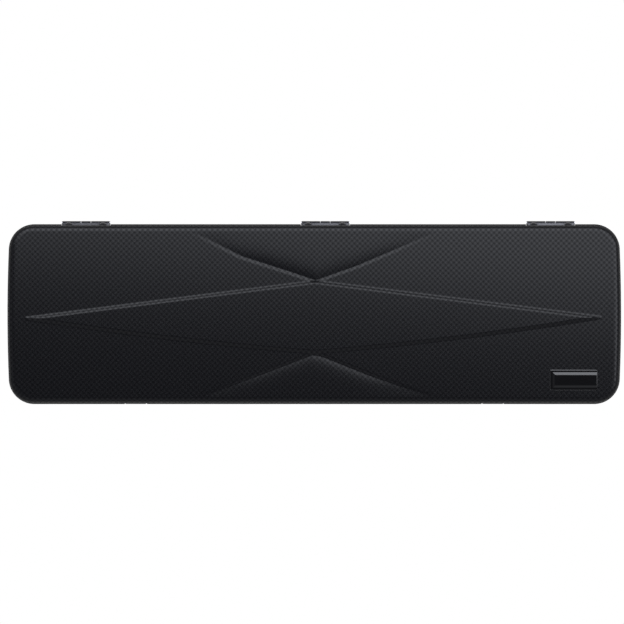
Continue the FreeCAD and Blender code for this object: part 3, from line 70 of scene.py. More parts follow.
# Points round the case, anticlockwise from the front left; stops are extra places on the front side
def outlineLoop(inset, step=4.0, stops=()):
    corner, bow, halfY, bowX, cornerX, cornerY = outlineFacts(inset)
    lean = math.atan2(cornerY, cornerX - bowX)
    quarter = math.pi / 2
    count = int(2 * cornerX / step)
    side = sorted(set(np.linspace(-cornerX, cornerX, count + 1)) | set(stops))
    points = [(x, -halfY) for x in side]

    def arc(x, y, radius, start, end, steps):
        for turn in np.linspace(start, end, steps + 1)[1:]:
            points.append((x + radius * math.cos(turn), y + radius * math.sin(turn)))

    def turnCorner(x, y, start, end):
        arc(x, y, corner, start, end, caseSizes["cornerSteps"])

    turnCorner(cornerX, -cornerY, -quarter, -lean)
    arc(bowX, 0, bow, -lean, lean, caseSizes["endSteps"])
    turnCorner(cornerX, cornerY, lean, quarter)
    points += [(x, halfY) for x in np.linspace(cornerX, -cornerX, count + 1)[1:]]
    turnCorner(-cornerX, cornerY, quarter, math.pi - lean)
    arc(-bowX, 0, bow, math.pi - lean, math.pi + lean, caseSizes["endSteps"])
    turnCorner(-cornerX, -cornerY, math.pi + lean, 3 * quarter)
    return points[:-1]


# How far a place lies inside the outline at an inset
def insideBy(x, y, inset):
    corner, bow, halfY, bowX, cornerX, cornerY = outlineFacts(inset)
    farX, farY = np.abs(x), np.abs(y)
    side = halfY - farY
    end = bow - np.hypot(farX - bowX, y)
    turn = corner - np.hypot(farX - cornerX, farY - cornerY)
    inCorner = (farY > cornerY) & (farX > cornerX)
    return np.maximum(np.where(inCorner, turn, np.minimum(side, end)), 0.0)


# A grid that follows the outline: its rows run along X and end on the rounded ends.
# The steps are the widths of its cells along X and along Y; they close up towards the edge.
def outlineGrid(inset, edge, steps, edgeSteps=8):
    corner, bow, halfY, bowX, cornerX, cornerY = outlineFacts(inset)
    halfX = caseSizes["halfLength"] - inset
    close = edge * (1 - np.cos(np.linspace(0, math.pi / 2, edgeSteps + 1)))

    def axis(half, step):
        count = max(2, int(round(2 * (half - edge) / step)))
        middle = np.linspace(-half + edge, half - edge, count + 1)
        return np.concatenate([-half + close[:-1], middle, (half - close[:-1])[::-1]])

    across = axis(halfX, steps[0]) / halfX
    rows = axis(halfY, steps[1])
    far = np.abs(rows)
    bowed = bowX + np.sqrt(bow ** 2 - rows ** 2)
    rounded = cornerX + np.sqrt(np.maximum(corner ** 2 - np.maximum(far - cornerY, 0) ** 2, 0))
    reach = np.where(far > cornerY, rounded, bowed)
    x = across[None, :] * reach[:, None]
    y = np.repeat(rows[:, None], len(across), axis=1)
    return x, y


# Height on a quarter round at a distance in from its foot
def arcHeight(radius, away):
    return np.sqrt(np.maximum(radius ** 2 - np.maximum(radius - away, 0) ** 2, 0))


def smooth(low, high, values):
    t = np.clip((values - low) / (high - low), 0, 1)
    return t * t * (3 - 2 * t)


# A straight slope with softened ends
def ramp(low, high, values):
    softness = 0.25
    t = np.clip((values - low) / (high - low), 0, 1)
    return (1 - softness) * t + softness * smooth(low, high, values)


def gridPoints(x, y, z):
    return list(zip(x.ravel(), y.ravel(), z.ravel()))


def gridFaces(rows, columns, start=0, down=False):
    faces = []
    for r in range(rows - 1):
        for c in range(columns - 1):
            a = start + r * columns + c
            face = (a, a + 1, a + columns + 1, a + columns)
            faces.append(face[::-1] if down else face)
    return faces


# The corners of a grid's edge, in order round it
def gridRim(rows, columns, start=0):
    rim = [start + c for c in range(columns)]
    rim += [start + r * columns + columns - 1 for r in range(1, rows)]
    rim += [start + (rows - 1) * columns + c for c in range(columns - 2, -1, -1)]
    rim += [start + r * columns for r in range(rows - 2, 0, -1)]
    return rim


# Faces between two closed loops of corners
def joinLoops(one, two):
    following = zip(one[1:] + one[:1], two[1:] + two[:1])
    return [(a, c, d, b) for a, b, (c, d) in zip(one, two, following)]


def ringAt(number, size):
    return list(range(number * size, (number + 1) * size))


# Faces of a tube of rings, each joined to the next
def ringFaces(rings, size, closed=False):
    faces = []
    for number in range(rings - 1):
        faces += joinLoops(ringAt(number, size), ringAt(number + 1, size))
    if closed:
        faces.append(tuple(ringAt(0, size)[::-1]))
        faces.append(tuple(ringAt(rings - 1, size)))
    return faces


# Meshes and pieces

def makeMesh(name, points, faces, sharp=40):
    mesh = bpy.data.meshes.new(name)
    mesh.from_pydata([(x * mm, y * mm, z * mm) for x, y, z in points], [], faces)
    mesh.validate()
    mesh.shade_smooth()
    mesh.set_sharp_from_angle(angle=math.radians(sharp))
    return mesh


def addObject(name, data):
    item = bpy.data.objects.new(name, data)
    bpy.context.scene.collection.objects.link(item)
    return item


def dressPiece(piece, finish, body, nodes=()):
    piece.data.materials.clear()
    piece.data.materials.append(finish)
    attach(piece, body)
    if nodes:
        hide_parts(*nodes)


def makePiece(name, mesh, finish, body, nodes=()):
    piece = addObject(name, mesh)
    dressPiece(piece, finish, body, nodes)
    return piece


# Turns what the modifiers make into the object's own mesh
def bakeModifiers(item):
    depsgraph = bpy.context.evaluated_depsgraph_get()
    mesh = bpy.data.meshes.new_from_object(item.evaluated_get(depsgraph))
    item.modifiers.clear()
    item.data = mesh
    return mesh


# Shader nodes; a source is another node's socket or a plain value

def feed(tree, socket, source):
    if isinstance(source, bpy.types.NodeSocket):
        tree.links.new(source, socket)
    else:
        socket.default_value = source


def mathNode(tree, kind, *sources):
    node = tree.nodes.new("ShaderNodeMath")
    node.operation = kind
    for socket, source in zip(node.inputs, sources):
        feed(tree, socket, source)
    return node.outputs[0]


def mixNode(tree, kind, mask, low, high):
    node = tree.nodes.new("ShaderNodeMix")
    node.data_type = kind
    for name, source in (("Factor", mask), ("A", low), ("B", high)):
        feed(tree, node.inputs[name], source)
    return node.outputs["Result"]


def mapRange(tree, source, fromEnds=(0.0, 1.0), toEnds=(0.0, 1.0), soft=False):
    node = tree.nodes.new("ShaderNodeMapRange")
    if soft:
        node.interpolation_type = "SMOOTHSTEP"
    feed(tree, node.inputs["Value"], source)
    for name, end in zip(("From Min", "From Max", "To Min", "To Max"), (*fromEnds, *toEnds)):
        feed(tree, node.inputs[name], end)
    return node.outputs["Result"]


def splitAxes(tree, source):
    node = tree.nodes.new("ShaderNodeSeparateXYZ")
    tree.links.new(source, node.inputs[0])
    return node.outputs


# Camera, lamps, sky and floor, in metres

topCamera = {
    "distance": 8.0,           # a long lens, as in a catalogue picture
    "across": 0.43740,         # seen across the picture at the parting line
    "place": (-0.0016, 0.0015),
    "sensor": 36.0,            # millimetres
    "clipEnd": 60.0,
}

keyLamp = {
    "place": (0.39, 1.62, 2.2),    # a wide panel behind and above, its near edge almost overhead
    "size": (5.0, 2.8),
    "turn": -31.0,                 # degrees, so that the right end is the brighter one
    "power": 121.0,
    "tint": (0.90, 0.93, 1.0),
}

fillLamp = {
    "place": (-1.1, -0.9, 1.6),
    "size": (1.2, 1.2),
    "power": 0.4,
    "tint": (0.97, 0.98, 1.0),
}

studioSky = {
    "tint": (0.92, 0.94, 1.0, 1.0),
    "top": 0.06,
    "side": 0.50,
    "left": 0.40,
    "rise": (0.75, 1.0),           # upward share of the direction, from the sides to the top
    "turn": (-0.2, -0.8),          # sideways share, from the side to the left
}

paleFloor = {
    "half": 14.0,
    "color": (0.86, 0.86, 0.86, 1.0),
    "glow": 1.0,
}


def makeCamera():
    s = topCamera
    data = bpy.data.cameras.new("camera")
    data.sensor_width = s["sensor"]
    data.lens = s["sensor"] * s["distance"] / s["across"]
    data.clip_end = s["clipEnd"]
    camera = addObject("camera", data)
    camera.location = (*s["place"], s["distance"] + caseSizes["parting"] * mm)
    bpy.context.scene.camera = camera


# A lamp without a turn of its own aims at the case
def makeLamp(name, s):
    data = bpy.data.lights.new(name, "AREA")
    data.shape = "RECTANGLE"
    data.size, data.size_y = s["size"]
    data.energy = s["power"]
    data.color = s["tint"]
    lamp = addObject(name, data)
    lamp.location = s["place"]
    if "turn" in s:
        lamp.rotation_euler = (0, 0, math.radians(s["turn"]))
    else:
        lamp.rotation_euler = (-Vector(s["place"])).to_track_quat("-Z", "Y").to_euler()


def makeSky():
    s = studioSky
    world = bpy.data.worlds.new("studio")
    bpy.context.scene.world = world
    world.use_nodes = True
    tree = world.node_tree
    tree.nodes.clear()
    out = tree.nodes.new("ShaderNodeOutputWorld")
    sky = tree.nodes.new("ShaderNodeBackground")
    sky.inputs["Color"].default_value = s["tint"]
    place = tree.nodes.new("ShaderNodeTexCoord")
    way = splitAxes(tree, place.outputs["Generated"])
    sides = mapRange(tree, way["X"], s["turn"], (s["side"], s["left"]), soft=True)
    level = mapRange(tree, way["Z"], s["rise"], (sides, s["top"]), soft=True)
    tree.links.new(level, sky.inputs["Strength"])
    tree.links.new(sky.outputs["Background"], out.inputs["Surface"])


# The floor is plain and pale; the camera, metal and glass see it as white
def makeFloor():
    half = paleFloor["half"]
    mesh = bpy.data.meshes.new("floor")
    corners = [(-half, -half, 0), (half, -half, 0), (half, half, 0), (-half, half, 0)]
    mesh.from_pydata(corners, [], [(0, 1, 2, 3)])
    floor = addObject("floor", mesh)
    finish = bpy.data.materials.new("paleFloor")
    finish.use_nodes = True
    tree = finish.node_tree
    tree.nodes.clear()
    out = tree.nodes.new("ShaderNodeOutputMaterial")
    matt = tree.nodes.new("ShaderNodeBsdfDiffuse")
    matt.inputs["Color"].default_value = paleFloor["color"]
    white = tree.nodes.new("ShaderNodeEmission")
    white.inputs["Strength"].default_value = paleFloor["glow"]
    rays = tree.nodes.new("ShaderNodeLightPath").outputs
    seen = mathNode(tree, "MAXIMUM", rays["Is Camera Ray"], rays["Is Glossy Ray"])
    seen = mathNode(tree, "MAXIMUM", seen, rays["Is Transmission Ray"])
    mix = tree.nodes.new("ShaderNodeMixShader")
    for socket, source in zip(mix.inputs, (seen, matt.outputs[0], white.outputs[0])):
        tree.links.new(source, socket)
    tree.links.new(mix.outputs[0], out.inputs["Surface"])
    mesh.materials.append(finish)


makeCamera()
makeLamp("keyLamp", keyLamp)
makeLamp("fillLamp", fillLamp)
makeSky()
makeFloor()
bpy.context.scene.view_settings.view_transform = "Standard"
print("camera, lamps and floor made")


# Effects that several finishes share

def startGroup(name, sizes, results):
    tree = bpy.data.node_groups.new(name, "ShaderNodeTree")
    for label, size in sizes.items():
        socket = tree.interface.new_socket(label, in_out="INPUT", socket_type="NodeSocketFloat")
        socket.default_value = size
    for label in results:
        tree.interface.new_socket(label, in_out="OUTPUT", socket_type="NodeSocketFloat")
    entry = tree.nodes.new("NodeGroupInput")
    leave = tree.nodes.new("NodeGroupOutput")
    place = tree.nodes.new("ShaderNodeTexCoord")
    return tree, entry.outputs, leave.inputs, place.outputs


wovenGrain = {
    "pitch": 3.75,             # from thread to thread along the case
    "rows": 3.8,               # and across it
    "fade": (0.62, 0.86),      # how squarely a face looks along an axis: no weave, full weave
    "steep": (0.30, 0.72),     # how far it looks up: no lacquer, full lacquer
    "upright": (0.12, 0.04),   # the same on the walls, where the lacquer comes back
}


# A plain weave pressed into the skin, laid over the top, the front or the ends by the way a face looks
def makeWeaveGroup():
    s = wovenGrain
    sizes = {"Pitch": s["pitch"] * mm, "Rows": s["rows"] * mm}
    tree, entry, leave, place = startGroup("wovenGrain", sizes, ("Height", "Thread", "Flat", "Up"))
    spot = splitAxes(tree, place["Object"])
    way = splitAxes(tree, place["Normal"])

    def calc(kind, *sources):
        return mathNode(tree, kind, *sources)

    def wave(distance, pitch):
        return calc("COSINE", calc("DIVIDE", calc("MULTIPLY", distance, 2 * math.pi), pitch))

    farX, farY, farZ = (calc("ABSOLUTE", way[axis]) for axis in "XYZ")
    isEnd = calc("GREATER_THAN", farX, calc("MAXIMUM", farY, farZ))
    isTop = calc("GREATER_THAN", farZ, calc("MAXIMUM", farX, farY))
    along = mixNode(tree, "FLOAT", isEnd, spot["X"], spot["Y"])
    across = mixNode(tree, "FLOAT", isTop, spot["Z"], spot["Y"])
    checker = calc("MULTIPLY", wave(along, entry["Pitch"]), wave(across, entry["Rows"]))
    square = calc("MAXIMUM", farZ, calc("MAXIMUM", farX, farY))
    flat = mapRange(tree, square, s["fade"], soft=True)
    height = calc("MULTIPLY", checker, flat)
    thread = calc("MULTIPLY_ADD", height, 0.5, 0.5)
    top = mapRange(tree, farZ, s["steep"], soft=True)
    wall = mapRange(tree, farZ, s["upright"])
    up = calc("MAXIMUM", top, wall)
    for name, source in (("Height", height), ("Thread", thread), ("Flat", flat), ("Up", up)):
        tree.links.new(source, leave[name])
    return tree


# Fine unevenness, for moulded and painted finishes: small grains and broad patches
def makeGrainGroup():
    sizes = dict.fromkeys(("Fine", "Broad", "Amount"), 1.0)
    tree, entry, leave, place = startGroup("fineGrain", sizes, ("Height", "Patches"))
    noises = []
    for name, detail in (("Fine", 3.0), ("Broad", 4.0)):
        noise = tree.nodes.new("ShaderNodeTexNoise")
        noise.inputs["Detail"].default_value = detail
        tree.links.new(place["Object"], noise.inputs["Vector"])
        tree.links.new(entry[name], noise.inputs["Scale"])
        noises.append(noise.outputs["Fac"])
    tree.links.new(mathNode(tree, "MULTIPLY", noises[0], entry["Amount"]), leave["Height"])
    tree.links.new(noises[1], leave["Patches"])
    return tree


weaveGroup = makeWeaveGroup()
grainGroup = makeGrainGroup()


# Finishes: noise scales are per metre, bump depths in metres

def startFinish(name, color, roughness, metallic=0.0, specular=0.5):
    finish = bpy.data.materials.new(name)
    finish.use_nodes = True
    tree = finish.node_tree
    shader = tree.nodes["Principled BSDF"]
    shader.inputs["Base Color"].default_value = (*color, 1.0)
    shader.inputs["Roughness"].default_value = roughness
    shader.inputs["Metallic"].default_value = metallic
    shader.inputs["Specular IOR Level"].default_value = specular
    finish.diffuse_color = (*color, 1.0)
    return finish, tree, shader


def addGroup(tree, group, **values):
    node = tree.nodes.new("ShaderNodeGroup")
    node.node_tree = group
    for name, size in values.items():
        node.inputs[name].default_value = size
    return node.outputs


# Blends two colours by a mask and feeds the shader's colour
def tintBy(tree, shader, mask, dark, pale):
    color = mixNode(tree, "RGBA", mask, (*dark, 1.0), (*pale, 1.0))
    tree.links.new(color, shader.inputs["Base Color"])


def roughenBy(tree, shader, mask, middle, swing):
    rough = mapRange(tree, mask, toEnds=(middle - swing, middle + swing))
    tree.links.new(rough, shader.inputs["Roughness"])


def addBump(tree, shader, height, strength, depth, under=None):
    bump = tree.nodes.new("ShaderNodeBump")
    bump.inputs["Strength"].default_value = strength
    bump.inputs["Distance"].default_value = depth
    tree.links.new(height, bump.inputs["Height"])
    if under is not None:
        tree.links.new(under, bump.inputs["Normal"])
    tree.links.new(bump.outputs["Normal"], shader.inputs["Normal"])
    return bump.outputs["Normal"]


shellFinish = {
    "hollow": (0.0026, 0.0026, 0.0034),
    "thread": (0.0044, 0.0044, 0.0056),
    "specular": 0.03,
    "rough": (0.31, 0.35),
    "roughWall": 0.05,         # added on the steep part of an edge
    "coatRough": 0.27,
    "glint": (0.23, 0.71),     # lacquer in the hollows and on the threads
    "glintEdge": 0.22,         # where the skin turns over an edge
    "grain": {"Fine": 1400.0, "Broad": 18.0, "Amount": 0.25},
    "grainBump": (0.05, 0.0002),
    "weaveBump": (0.14, 0.00012),
}


def makeShellFinish():
    s = shellFinish
    finish, tree, shader = startFinish("wovenShell", s["thread"], s["rough"][1], specular=s["specular"])
    shader.inputs["Coat Roughness"].default_value = s["coatRough"]
    weave = addGroup(tree, weaveGroup)
    grain = addGroup(tree, grainGroup, **s["grain"])
    tintBy(tree, shader, weave["Thread"], s["hollow"], s["thread"])
    rough = mapRange(tree, grain["Patches"], toEnds=s["rough"])
    steep = mapRange(tree, weave["Up"], toEnds=(s["roughWall"], 0.0))
    tree.links.new(mathNode(tree, "ADD", rough, steep), shader.inputs["Roughness"])
    glint = mapRange(tree, weave["Thread"], toEnds=s["glint"])
    lacquer = mixNode(tree, "FLOAT", weave["Flat"], s["glintEdge"], glint)
    tree.links.new(mathNode(tree, "MULTIPLY", lacquer, weave["Up"]), shader.inputs["Coat Weight"])
    fine = addBump(tree, shader, grain["Height"], *s["grainBump"])
    addBump(tree, shader, weave["Height"], *s["weaveBump"], under=fine)
    return finish


plainGrain = {
    "fine": 1500.0,
    "broad": 60.0,
    "pale": 1.35,              # lightest and darkest patches, as shares of the colour
    "dark": 0.75,
    "depth": 0.0001,
    "swing": 0.06,             # in roughness
}


def makePlainFinish(name, color, roughness, metallic=0.0, specular=0.5, coat=0.0,
                    grain=0.15, fine=plainGrain["fine"], swing=plainGrain["swing"]):
    s = plainGrain
    finish, tree, shader = startFinish(name, color, roughness, metallic, specular)
    shader.inputs["Coat Weight"].default_value = coat
    spots = addGroup(tree, grainGroup, Fine=fine, Broad=s["broad"], Amount=1.0)
    pale = tuple(min(1.0, c * s["pale"]) for c in color)
    dark = tuple(c * s["dark"] for c in color)
    tintBy(tree, shader, spots["Patches"], dark, pale)
    roughenBy(tree, shader, spots["Patches"], roughness, swing)
    addBump(tree, shader, spots["Height"], grain, s["depth"])
    return finish


plushFinish = {
    "dark": (0.004, 0.005, 0.010),
    "pale": (0.018, 0.021, 0.040),
    "roughness": 0.95,
    "sheen": 0.35,
    "sheenRough": 0.45,
    "grain": {"Fine": 1300.0, "Broad": 45.0, "Amount": 1.0},
    "bump": (0.7, 0.0006),
}


def makePlushFinish(name):
    s = plushFinish
    finish, tree, shader = startFinish(name, s["pale"], s["roughness"])
    shader.inputs["Sheen Weight"].default_value = s["sheen"]
    shader.inputs["Sheen Roughness"].default_value = s["sheenRough"]
    pile = addGroup(tree, grainGroup, **s["grain"])
    tintBy(tree, shader, pile["Height"], s["dark"], s["pale"])
    addBump(tree, shader, pile["Height"], *s["bump"])
    return finish


hingeFinish = {
    "leaf": (0.145, 0.145, 0.155),
    "barrel": (0.012, 0.012, 0.014),
    "barrelStart": 63.9,       # Y where the knuckles' lacquer begins
    "specular": 0.08,
    "roughness": 0.30,
    "grain": 0.08,
    "middles": (-160.0, 7.7, 165.6),
    "rivetReach": 12.0,        # from a hinge's middle
    "rivetRise": 6.6,          # over and under the parting line
    "rivetShade": (3.0, 3.9),      # painted shade round each rivet, where its head would shade the leaf
}


# Satin metal on the leaves and dark lacquer on the knuckles; the dark ring round each rivet is painted
# shade
def makeHingeFinish():
    s = hingeFinish
    finish, tree, shader = startFinish("hingePlate", s["leaf"], s["roughness"], specular=s["specular"])
    place = tree.nodes.new("ShaderNodeTexCoord")
    spot = splitAxes(tree, place.outputs["Object"])

    def calc(kind, *sources):
        return mathNode(tree, kind, *sources)

    def squareOf(source):
        return calc("MULTIPLY", source, source)

    rivets = [middle + side * s["rivetReach"] for middle in s["middles"] for side in (-1, 1)]
    aways = [calc("ABSOLUTE", calc("SUBTRACT", spot["X"], x * mm)) for x in rivets]
    nearest = aways[0]
    for away in aways[1:]:
        nearest = calc("MINIMUM", nearest, away)
    level = calc("ABSOLUTE", calc("SUBTRACT", spot["Z"], caseSizes["parting"] * mm))
    rise = calc("SUBTRACT", level, s["rivetRise"] * mm)
    radial = calc("SQRT", calc("ADD", squareOf(nearest), squareOf(rise)))
    # Painted shade: in a ring round each rivet the leaf takes the knuckles' dark colour
    clear = mapRange(tree, radial, [size * mm for size in s["rivetShade"]])
    onLeaf = calc("LESS_THAN", spot["Y"], s["barrelStart"] * mm)
    bare = calc("MULTIPLY", clear, onLeaf)
    tintBy(tree, shader, bare, s["barrel"], s["leaf"])
    tree.links.new(bare, shader.inputs["Metallic"])
    spots = addGroup(tree, grainGroup, Fine=plainGrain["fine"], Broad=plainGrain["broad"], Amount=1.0)
    roughenBy(tree, shader, spots["Patches"], s["roughness"], plainGrain["swing"])
    addBump(tree, shader, spots["Height"], s["grain"], plainGrain["depth"])
    return finish


finishes = {
    "shell": makeShellFinish(),
    "rim": makePlainFinish("satinRim", (0.0035, 0.0035, 0.0045), 0.5, specular=0.03),
    "badge": makePlainFinish("glossPlate", (0.0025, 0.0025, 0.003), 0.09, grain=0.0, swing=0.02, coat=0.6),
    "badgeEdge": makePlainFinish("plateEdge", (0.32, 0.32, 0.33), 0.3, metallic=1.0, grain=0.05),
    "hinge": makeHingeFinish(),
    "rivet": makePlainFinish("rivetHead", (0.020, 0.020, 0.023), 0.28, metallic=0.6, grain=0.05),
    "latch": makePlainFinish("latchSteel", (0.030, 0.030, 0.034), 0.34, metallic=0.5, grain=0.1),
    "pin": makePlainFinish("pinSteel", (0.45, 0.45, 0.47), 0.3, metallic=1.0, grain=0.05),
    "handle": makePlainFinish("handleBlack", (0.018, 0.018, 0.020), 0.38, grain=0.2),
    "grip": makePlainFinish("gripRubber", (0.014, 0.014, 0.015), 0.62, grain=0.5, fine=2200.0),
    "foot": makePlainFinish("footRubber", (0.016, 0.016, 0.016), 0.7, grain=0.5, fine=2200.0),
    "seal": makePlainFinish("sealRubber", (0.012, 0.012, 0.012), 0.6, grain=0.3),
    "plush": makePlushFinish("trayPlush"),
    "cushion": makePlushFinish("cushionPlush"),
    "stitch": makePlainFinish("stitchThread", (0.05, 0.055, 0.08), 0.7, grain=0.4),
}


# Names of the pieces that come in a set, such as a left and a right one
def setOf(names, ends=("left", "right")):
    return [f"{name}_{end}" for name in names for end in ends]


hingePlaces = ("left", "middle", "right")
nodeFinishes = {
    "shell": ["base_shell", "lid_shell"],
    "rim": setOf(["base_rim", "lid_rim"], ("front", "back", "left", "right")),
    "hinge": setOf(["hinge_base_leaf", "hinge_lid_leaf"], hingePlaces),
    "pin": setOf(["hinge_pin"], hingePlaces) + setOf(["lever_pins", "claw_pin"]) + ["handle_pins"],
    "rivet": ["hinge_lid_rivets", "hinge_base_rivets", "latch_plate_rivets", "keeper_rivets",
              "handle_bracket_screws"],
    "latch": setOf(["latch_plate", "latch_lever", "latch_claw", "latch_keeper", "handle_bracket"]),
    "handle": ["handle_frame"],
    "grip": ["handle_grip"],
    "foot": ["rubber_feet"],
    "seal": ["rim_seal"],
    "badge": ["badge_plate"],
    "cushion": ["lid_cushion"],
    "plush": ["tray_core", "tray_lining"],
}

for finishName, nodeNames in nodeFinishes.items():
    for nodeName in nodeNames:
        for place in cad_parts[nodeName].material_slots:
            place.material = finishes[finishName]
print("finishes made")


# Lid shell, with the raised diamond and the creases beside it

lidShell = {
    "top": 66.5,
    "crown": 900.0,
    "edge": 4.0,
    "steps": (1.3, 0.55),
    "innerSteps": (9.0, 9.0),
    "skirt": 3.0,            # first ring of the wall, below the rounded edge
    "seam": 56.0,            # height where the skin's wall meets the notched band
    "overlap": 0.2,
    "innerDrop": 2.6,        # the band's inner face ends this far below the rounded edge
    "diamondRise": 1.2,
    "diamondEdge": 2.1,
    "leftTip": (-200.5, -2.9),
    "rightTip": (198.7, -2.3),
    "backPeak": (0.8, 22.6),
    "frontPeak": (0.5, -26.6),
    "frontBulge": 2.0,
    "reliefStart": (1.0, 9.0),       # in from the outline: no relief, full relief
    "creaseDepth": 0.8,
    "creaseEdge": 1.3,
    "creaseFade": 4.2,
    "creaseSlant": 0.93,             # distance across a crease for one along Y
    "creaseReach": (30.0, 92.0),
    "notches": (-125.0, 125.0),
    "notchHalf": 8.0,
    "notchTop": 51.5,
    "backCreaseX": (-100.0, -76.4, -51.8, -16.8, 0.8, 30.2, 53.4, 76.6, 100.0),
    "backCreaseY": (64.0, 52.5, 39.8, 28.6, 22.6, 33.0, 42.9, 53.1, 63.0),
    "frontCreaseX": (-95.0, -70.8, -63.8, -28.7, -1.3, 6.4, 41.5, 76.5, 100.0),
    "frontCreaseY": (-63.0, -54.2, -51.4, -38.1, -27.6, -29.0, -43.0, -54.9, -63.0),
}


def crownHeight(y, top, crown):
    return top - crown + np.sqrt(crown ** 2 - y ** 2)


def diamondRelief(x, y):
    s = lidShell
    leftX, rightX = s["leftTip"][0], s["rightTip"][0]

    def sideThrough(peak):
        return np.interp(x, (leftX, peak[0], rightX), (s["leftTip"][1], peak[1], s["rightTip"][1]))

    share = np.interp(x, (leftX, s["frontPeak"][0], rightX), (0.0, 1.0, 2.0)) % 1.0
    bulge = 4 * s["frontBulge"] * share * (1 - share)
    front = sideThrough(s["frontPeak"]) - bulge
    beyond = np.maximum(leftX - x, x - rightX)
    inside = np.minimum(np.minimum(sideThrough(s["backPeak"]) - y, y - front), -beyond)
    half = s["diamondEdge"] / 2
    return s["diamondRise"] * ramp(-half, half, inside)


# A step down at the crease, which runs out again away from it
def creaseRelief(x, y, side, creaseX, creaseY):
    s = lidShell
    across = side * (y - np.interp(x, creaseX, creaseY)) * s["creaseSlant"]
    half = s["creaseEdge"] / 2
    sink = smooth(-half, half, across) * np.exp(-np.maximum(across, 0) / s["creaseFade"])
    fade = 1 - smooth(*s["creaseReach"], np.abs(x))
    return s["creaseDepth"] * fade * sink


def lidRelief(x, y):
    s = lidShell
    relief = diamondRelief(x, y)
    relief = relief - creaseRelief(x, y, 1, s["backCreaseX"], s["backCreaseY"])
    return relief - creaseRelief(x, y, -1, s["frontCreaseX"], s["frontCreaseY"])


def crownGrid(inset, top, crown, edge, steps):
    x, y = outlineGrid(inset, edge, steps)
    fall = edge - arcHeight(edge, insideBy(x, y, inset))
    return x, y, crownHeight(y, top, crown) - fall


# The wall's band below the skin, with a notch for each latch
def addBand(points, faces, low, high, innerHigh):
    s = lidShell
    stops = [n + side * s["notchHalf"] for n in s["notches"] for side in (-1, 1)]
    outer = outlineLoop(caseSizes["bead"], stops=stops)
    inner = outlineLoop(caseSizes["bead"] + caseSizes["wall"], stops=stops)
    size = len(outer)

    def bottomOf(a, b):
        middle = (outer[a][0] + outer[b][0]) / 2
        onFront = outer[a][1] < 0 and math.isclose(outer[a][1], outer[b][1])
        inNotch = any(abs(middle - n) < s["notchHalf"] for n in s["notches"])
        return s["notchTop"] if onFront and inNotch else low

    for a in range(size):
        b = (a + 1) % size
        bottom = bottomOf(a, b)
        before = bottomOf((a - 1) % size, a)
        start = len(points)
        points += [(*outer[a], bottom), (*outer[b], bottom), (*outer[b], high), (*outer[a], high)]
        points += [(*inner[a], bottom), (*inner[b], bottom), (*inner[b], innerHigh), (*inner[a], innerHigh)]
        faces.append((start, start + 1, start + 2, start + 3))
        faces.append((start + 5, start + 4, start + 7, start + 6))
        faces.append((start + 1, start, start + 4, start + 5))
        if before != bottom:
            jamb = len(points)
            points += [(*outer[a], low), (*outer[a], s["notchTop"])]
            points += [(*inner[a], s["notchTop"]), (*inner[a], low)]
            face = (jamb, jamb + 1, jamb + 2, jamb + 3)
            faces.append(face if bottom > before else face[::-1])


def makeLidShell():
    s = lidShell
    inset, wall = caseSizes["bead"], caseSizes["wall"]
    edgeFoot = s["top"] - s["edge"]
    x, y, z = crownGrid(inset, s["top"], s["crown"], s["edge"], s["steps"])
    z = z + lidRelief(x, y) * smooth(*s["reliefStart"], insideBy(x, y, inset))
    points = gridPoints(x, y, z)
    faces = gridFaces(*x.shape)
    rim = gridRim(*x.shape)
    for level in (edgeFoot - s["skirt"], s["seam"]):
        below = list(range(len(points), len(points) + len(rim)))
        points += [(points[i][0], points[i][1], level) for i in rim]
        faces += joinLoops(below, rim)
        rim = below
    innerHigh = edgeFoot - s["innerDrop"]
    addBand(points, faces, caseSizes["parting"] + caseSizes["web"], s["seam"] + s["overlap"], innerHigh)

    # Inside face of the skin
    x, y, z = crownGrid(inset + wall, s["top"] - wall, s["crown"] - wall, s["edge"] - wall, s["innerSteps"])
    start = len(points)
    points += gridPoints(x, y, z)
    faces += gridFaces(*x.shape, start=start, down=True)
    rim = gridRim(*x.shape, start=start)
    below = list(range(len(points), len(points) + len(rim)))
    points += [(points[i][0], points[i][1], innerHigh - s["overlap"]) for i in rim]
    faces += joinLoops(rim, below)
    mesh = makeMesh("lidSkin", points, faces)
    makePiece("lidSkin", mesh, finishes["shell"], "lid", ["lid_shell"])


makeLidShell()
print("lid shell made")


# Badge place: a bare domed plate on the lid's crown

badgePlate = {
    "x": 181.3,
    "y": -46.0,
    "length": 33.3,
    "width": 14.4,
    "corner": 1.2,
    "leastCorner": 0.25,
    "cornerPoints": 7,
    "sink": 0.6,
    # A fine raised lip, a groove and a bevel up to the flat face:
    # distance in from the edge, height over the seat
    "profile": ((0.0, 0.0), (0.0, 0.62), (0.10, 0.76), (0.32, 0.85), (0.55, 0.87), (0.9, 0.86),
                (1.75, 0.85), (1.95, 0.88), (2.2, 0.94), (3.3, 1.19), (3.6, 1.24), (4.0, 1.25),
                (5.4, 1.25), (6.9, 1.25)),
    "brightRings": 2,       # bare metal on the plate's edge
    "rightShare": 0.16,     # the bevel is steeper at the right end
}


def badgeRing(inset, height):
    s = badgePlate
    corner = max(s["corner"] - inset, s["leastCorner"])
    loop = []
    for quarter, (sx, sy) in enumerate(((1, 1), (-1, 1), (-1, -1), (1, -1))):
        inX = inset * s["rightShare"] if sx > 0 else inset
        cx = sx * (s["length"] / 2 - inX - corner)
        cy = sy * (s["width"] / 2 - inset - corner)
        for turn in np.linspace(0, math.pi / 2, s["cornerPoints"]):
            angle = turn + quarter * math.pi / 2
            loop.append((cx + corner * math.cos(angle), cy + corner * math.sin(angle), height))
    return loop


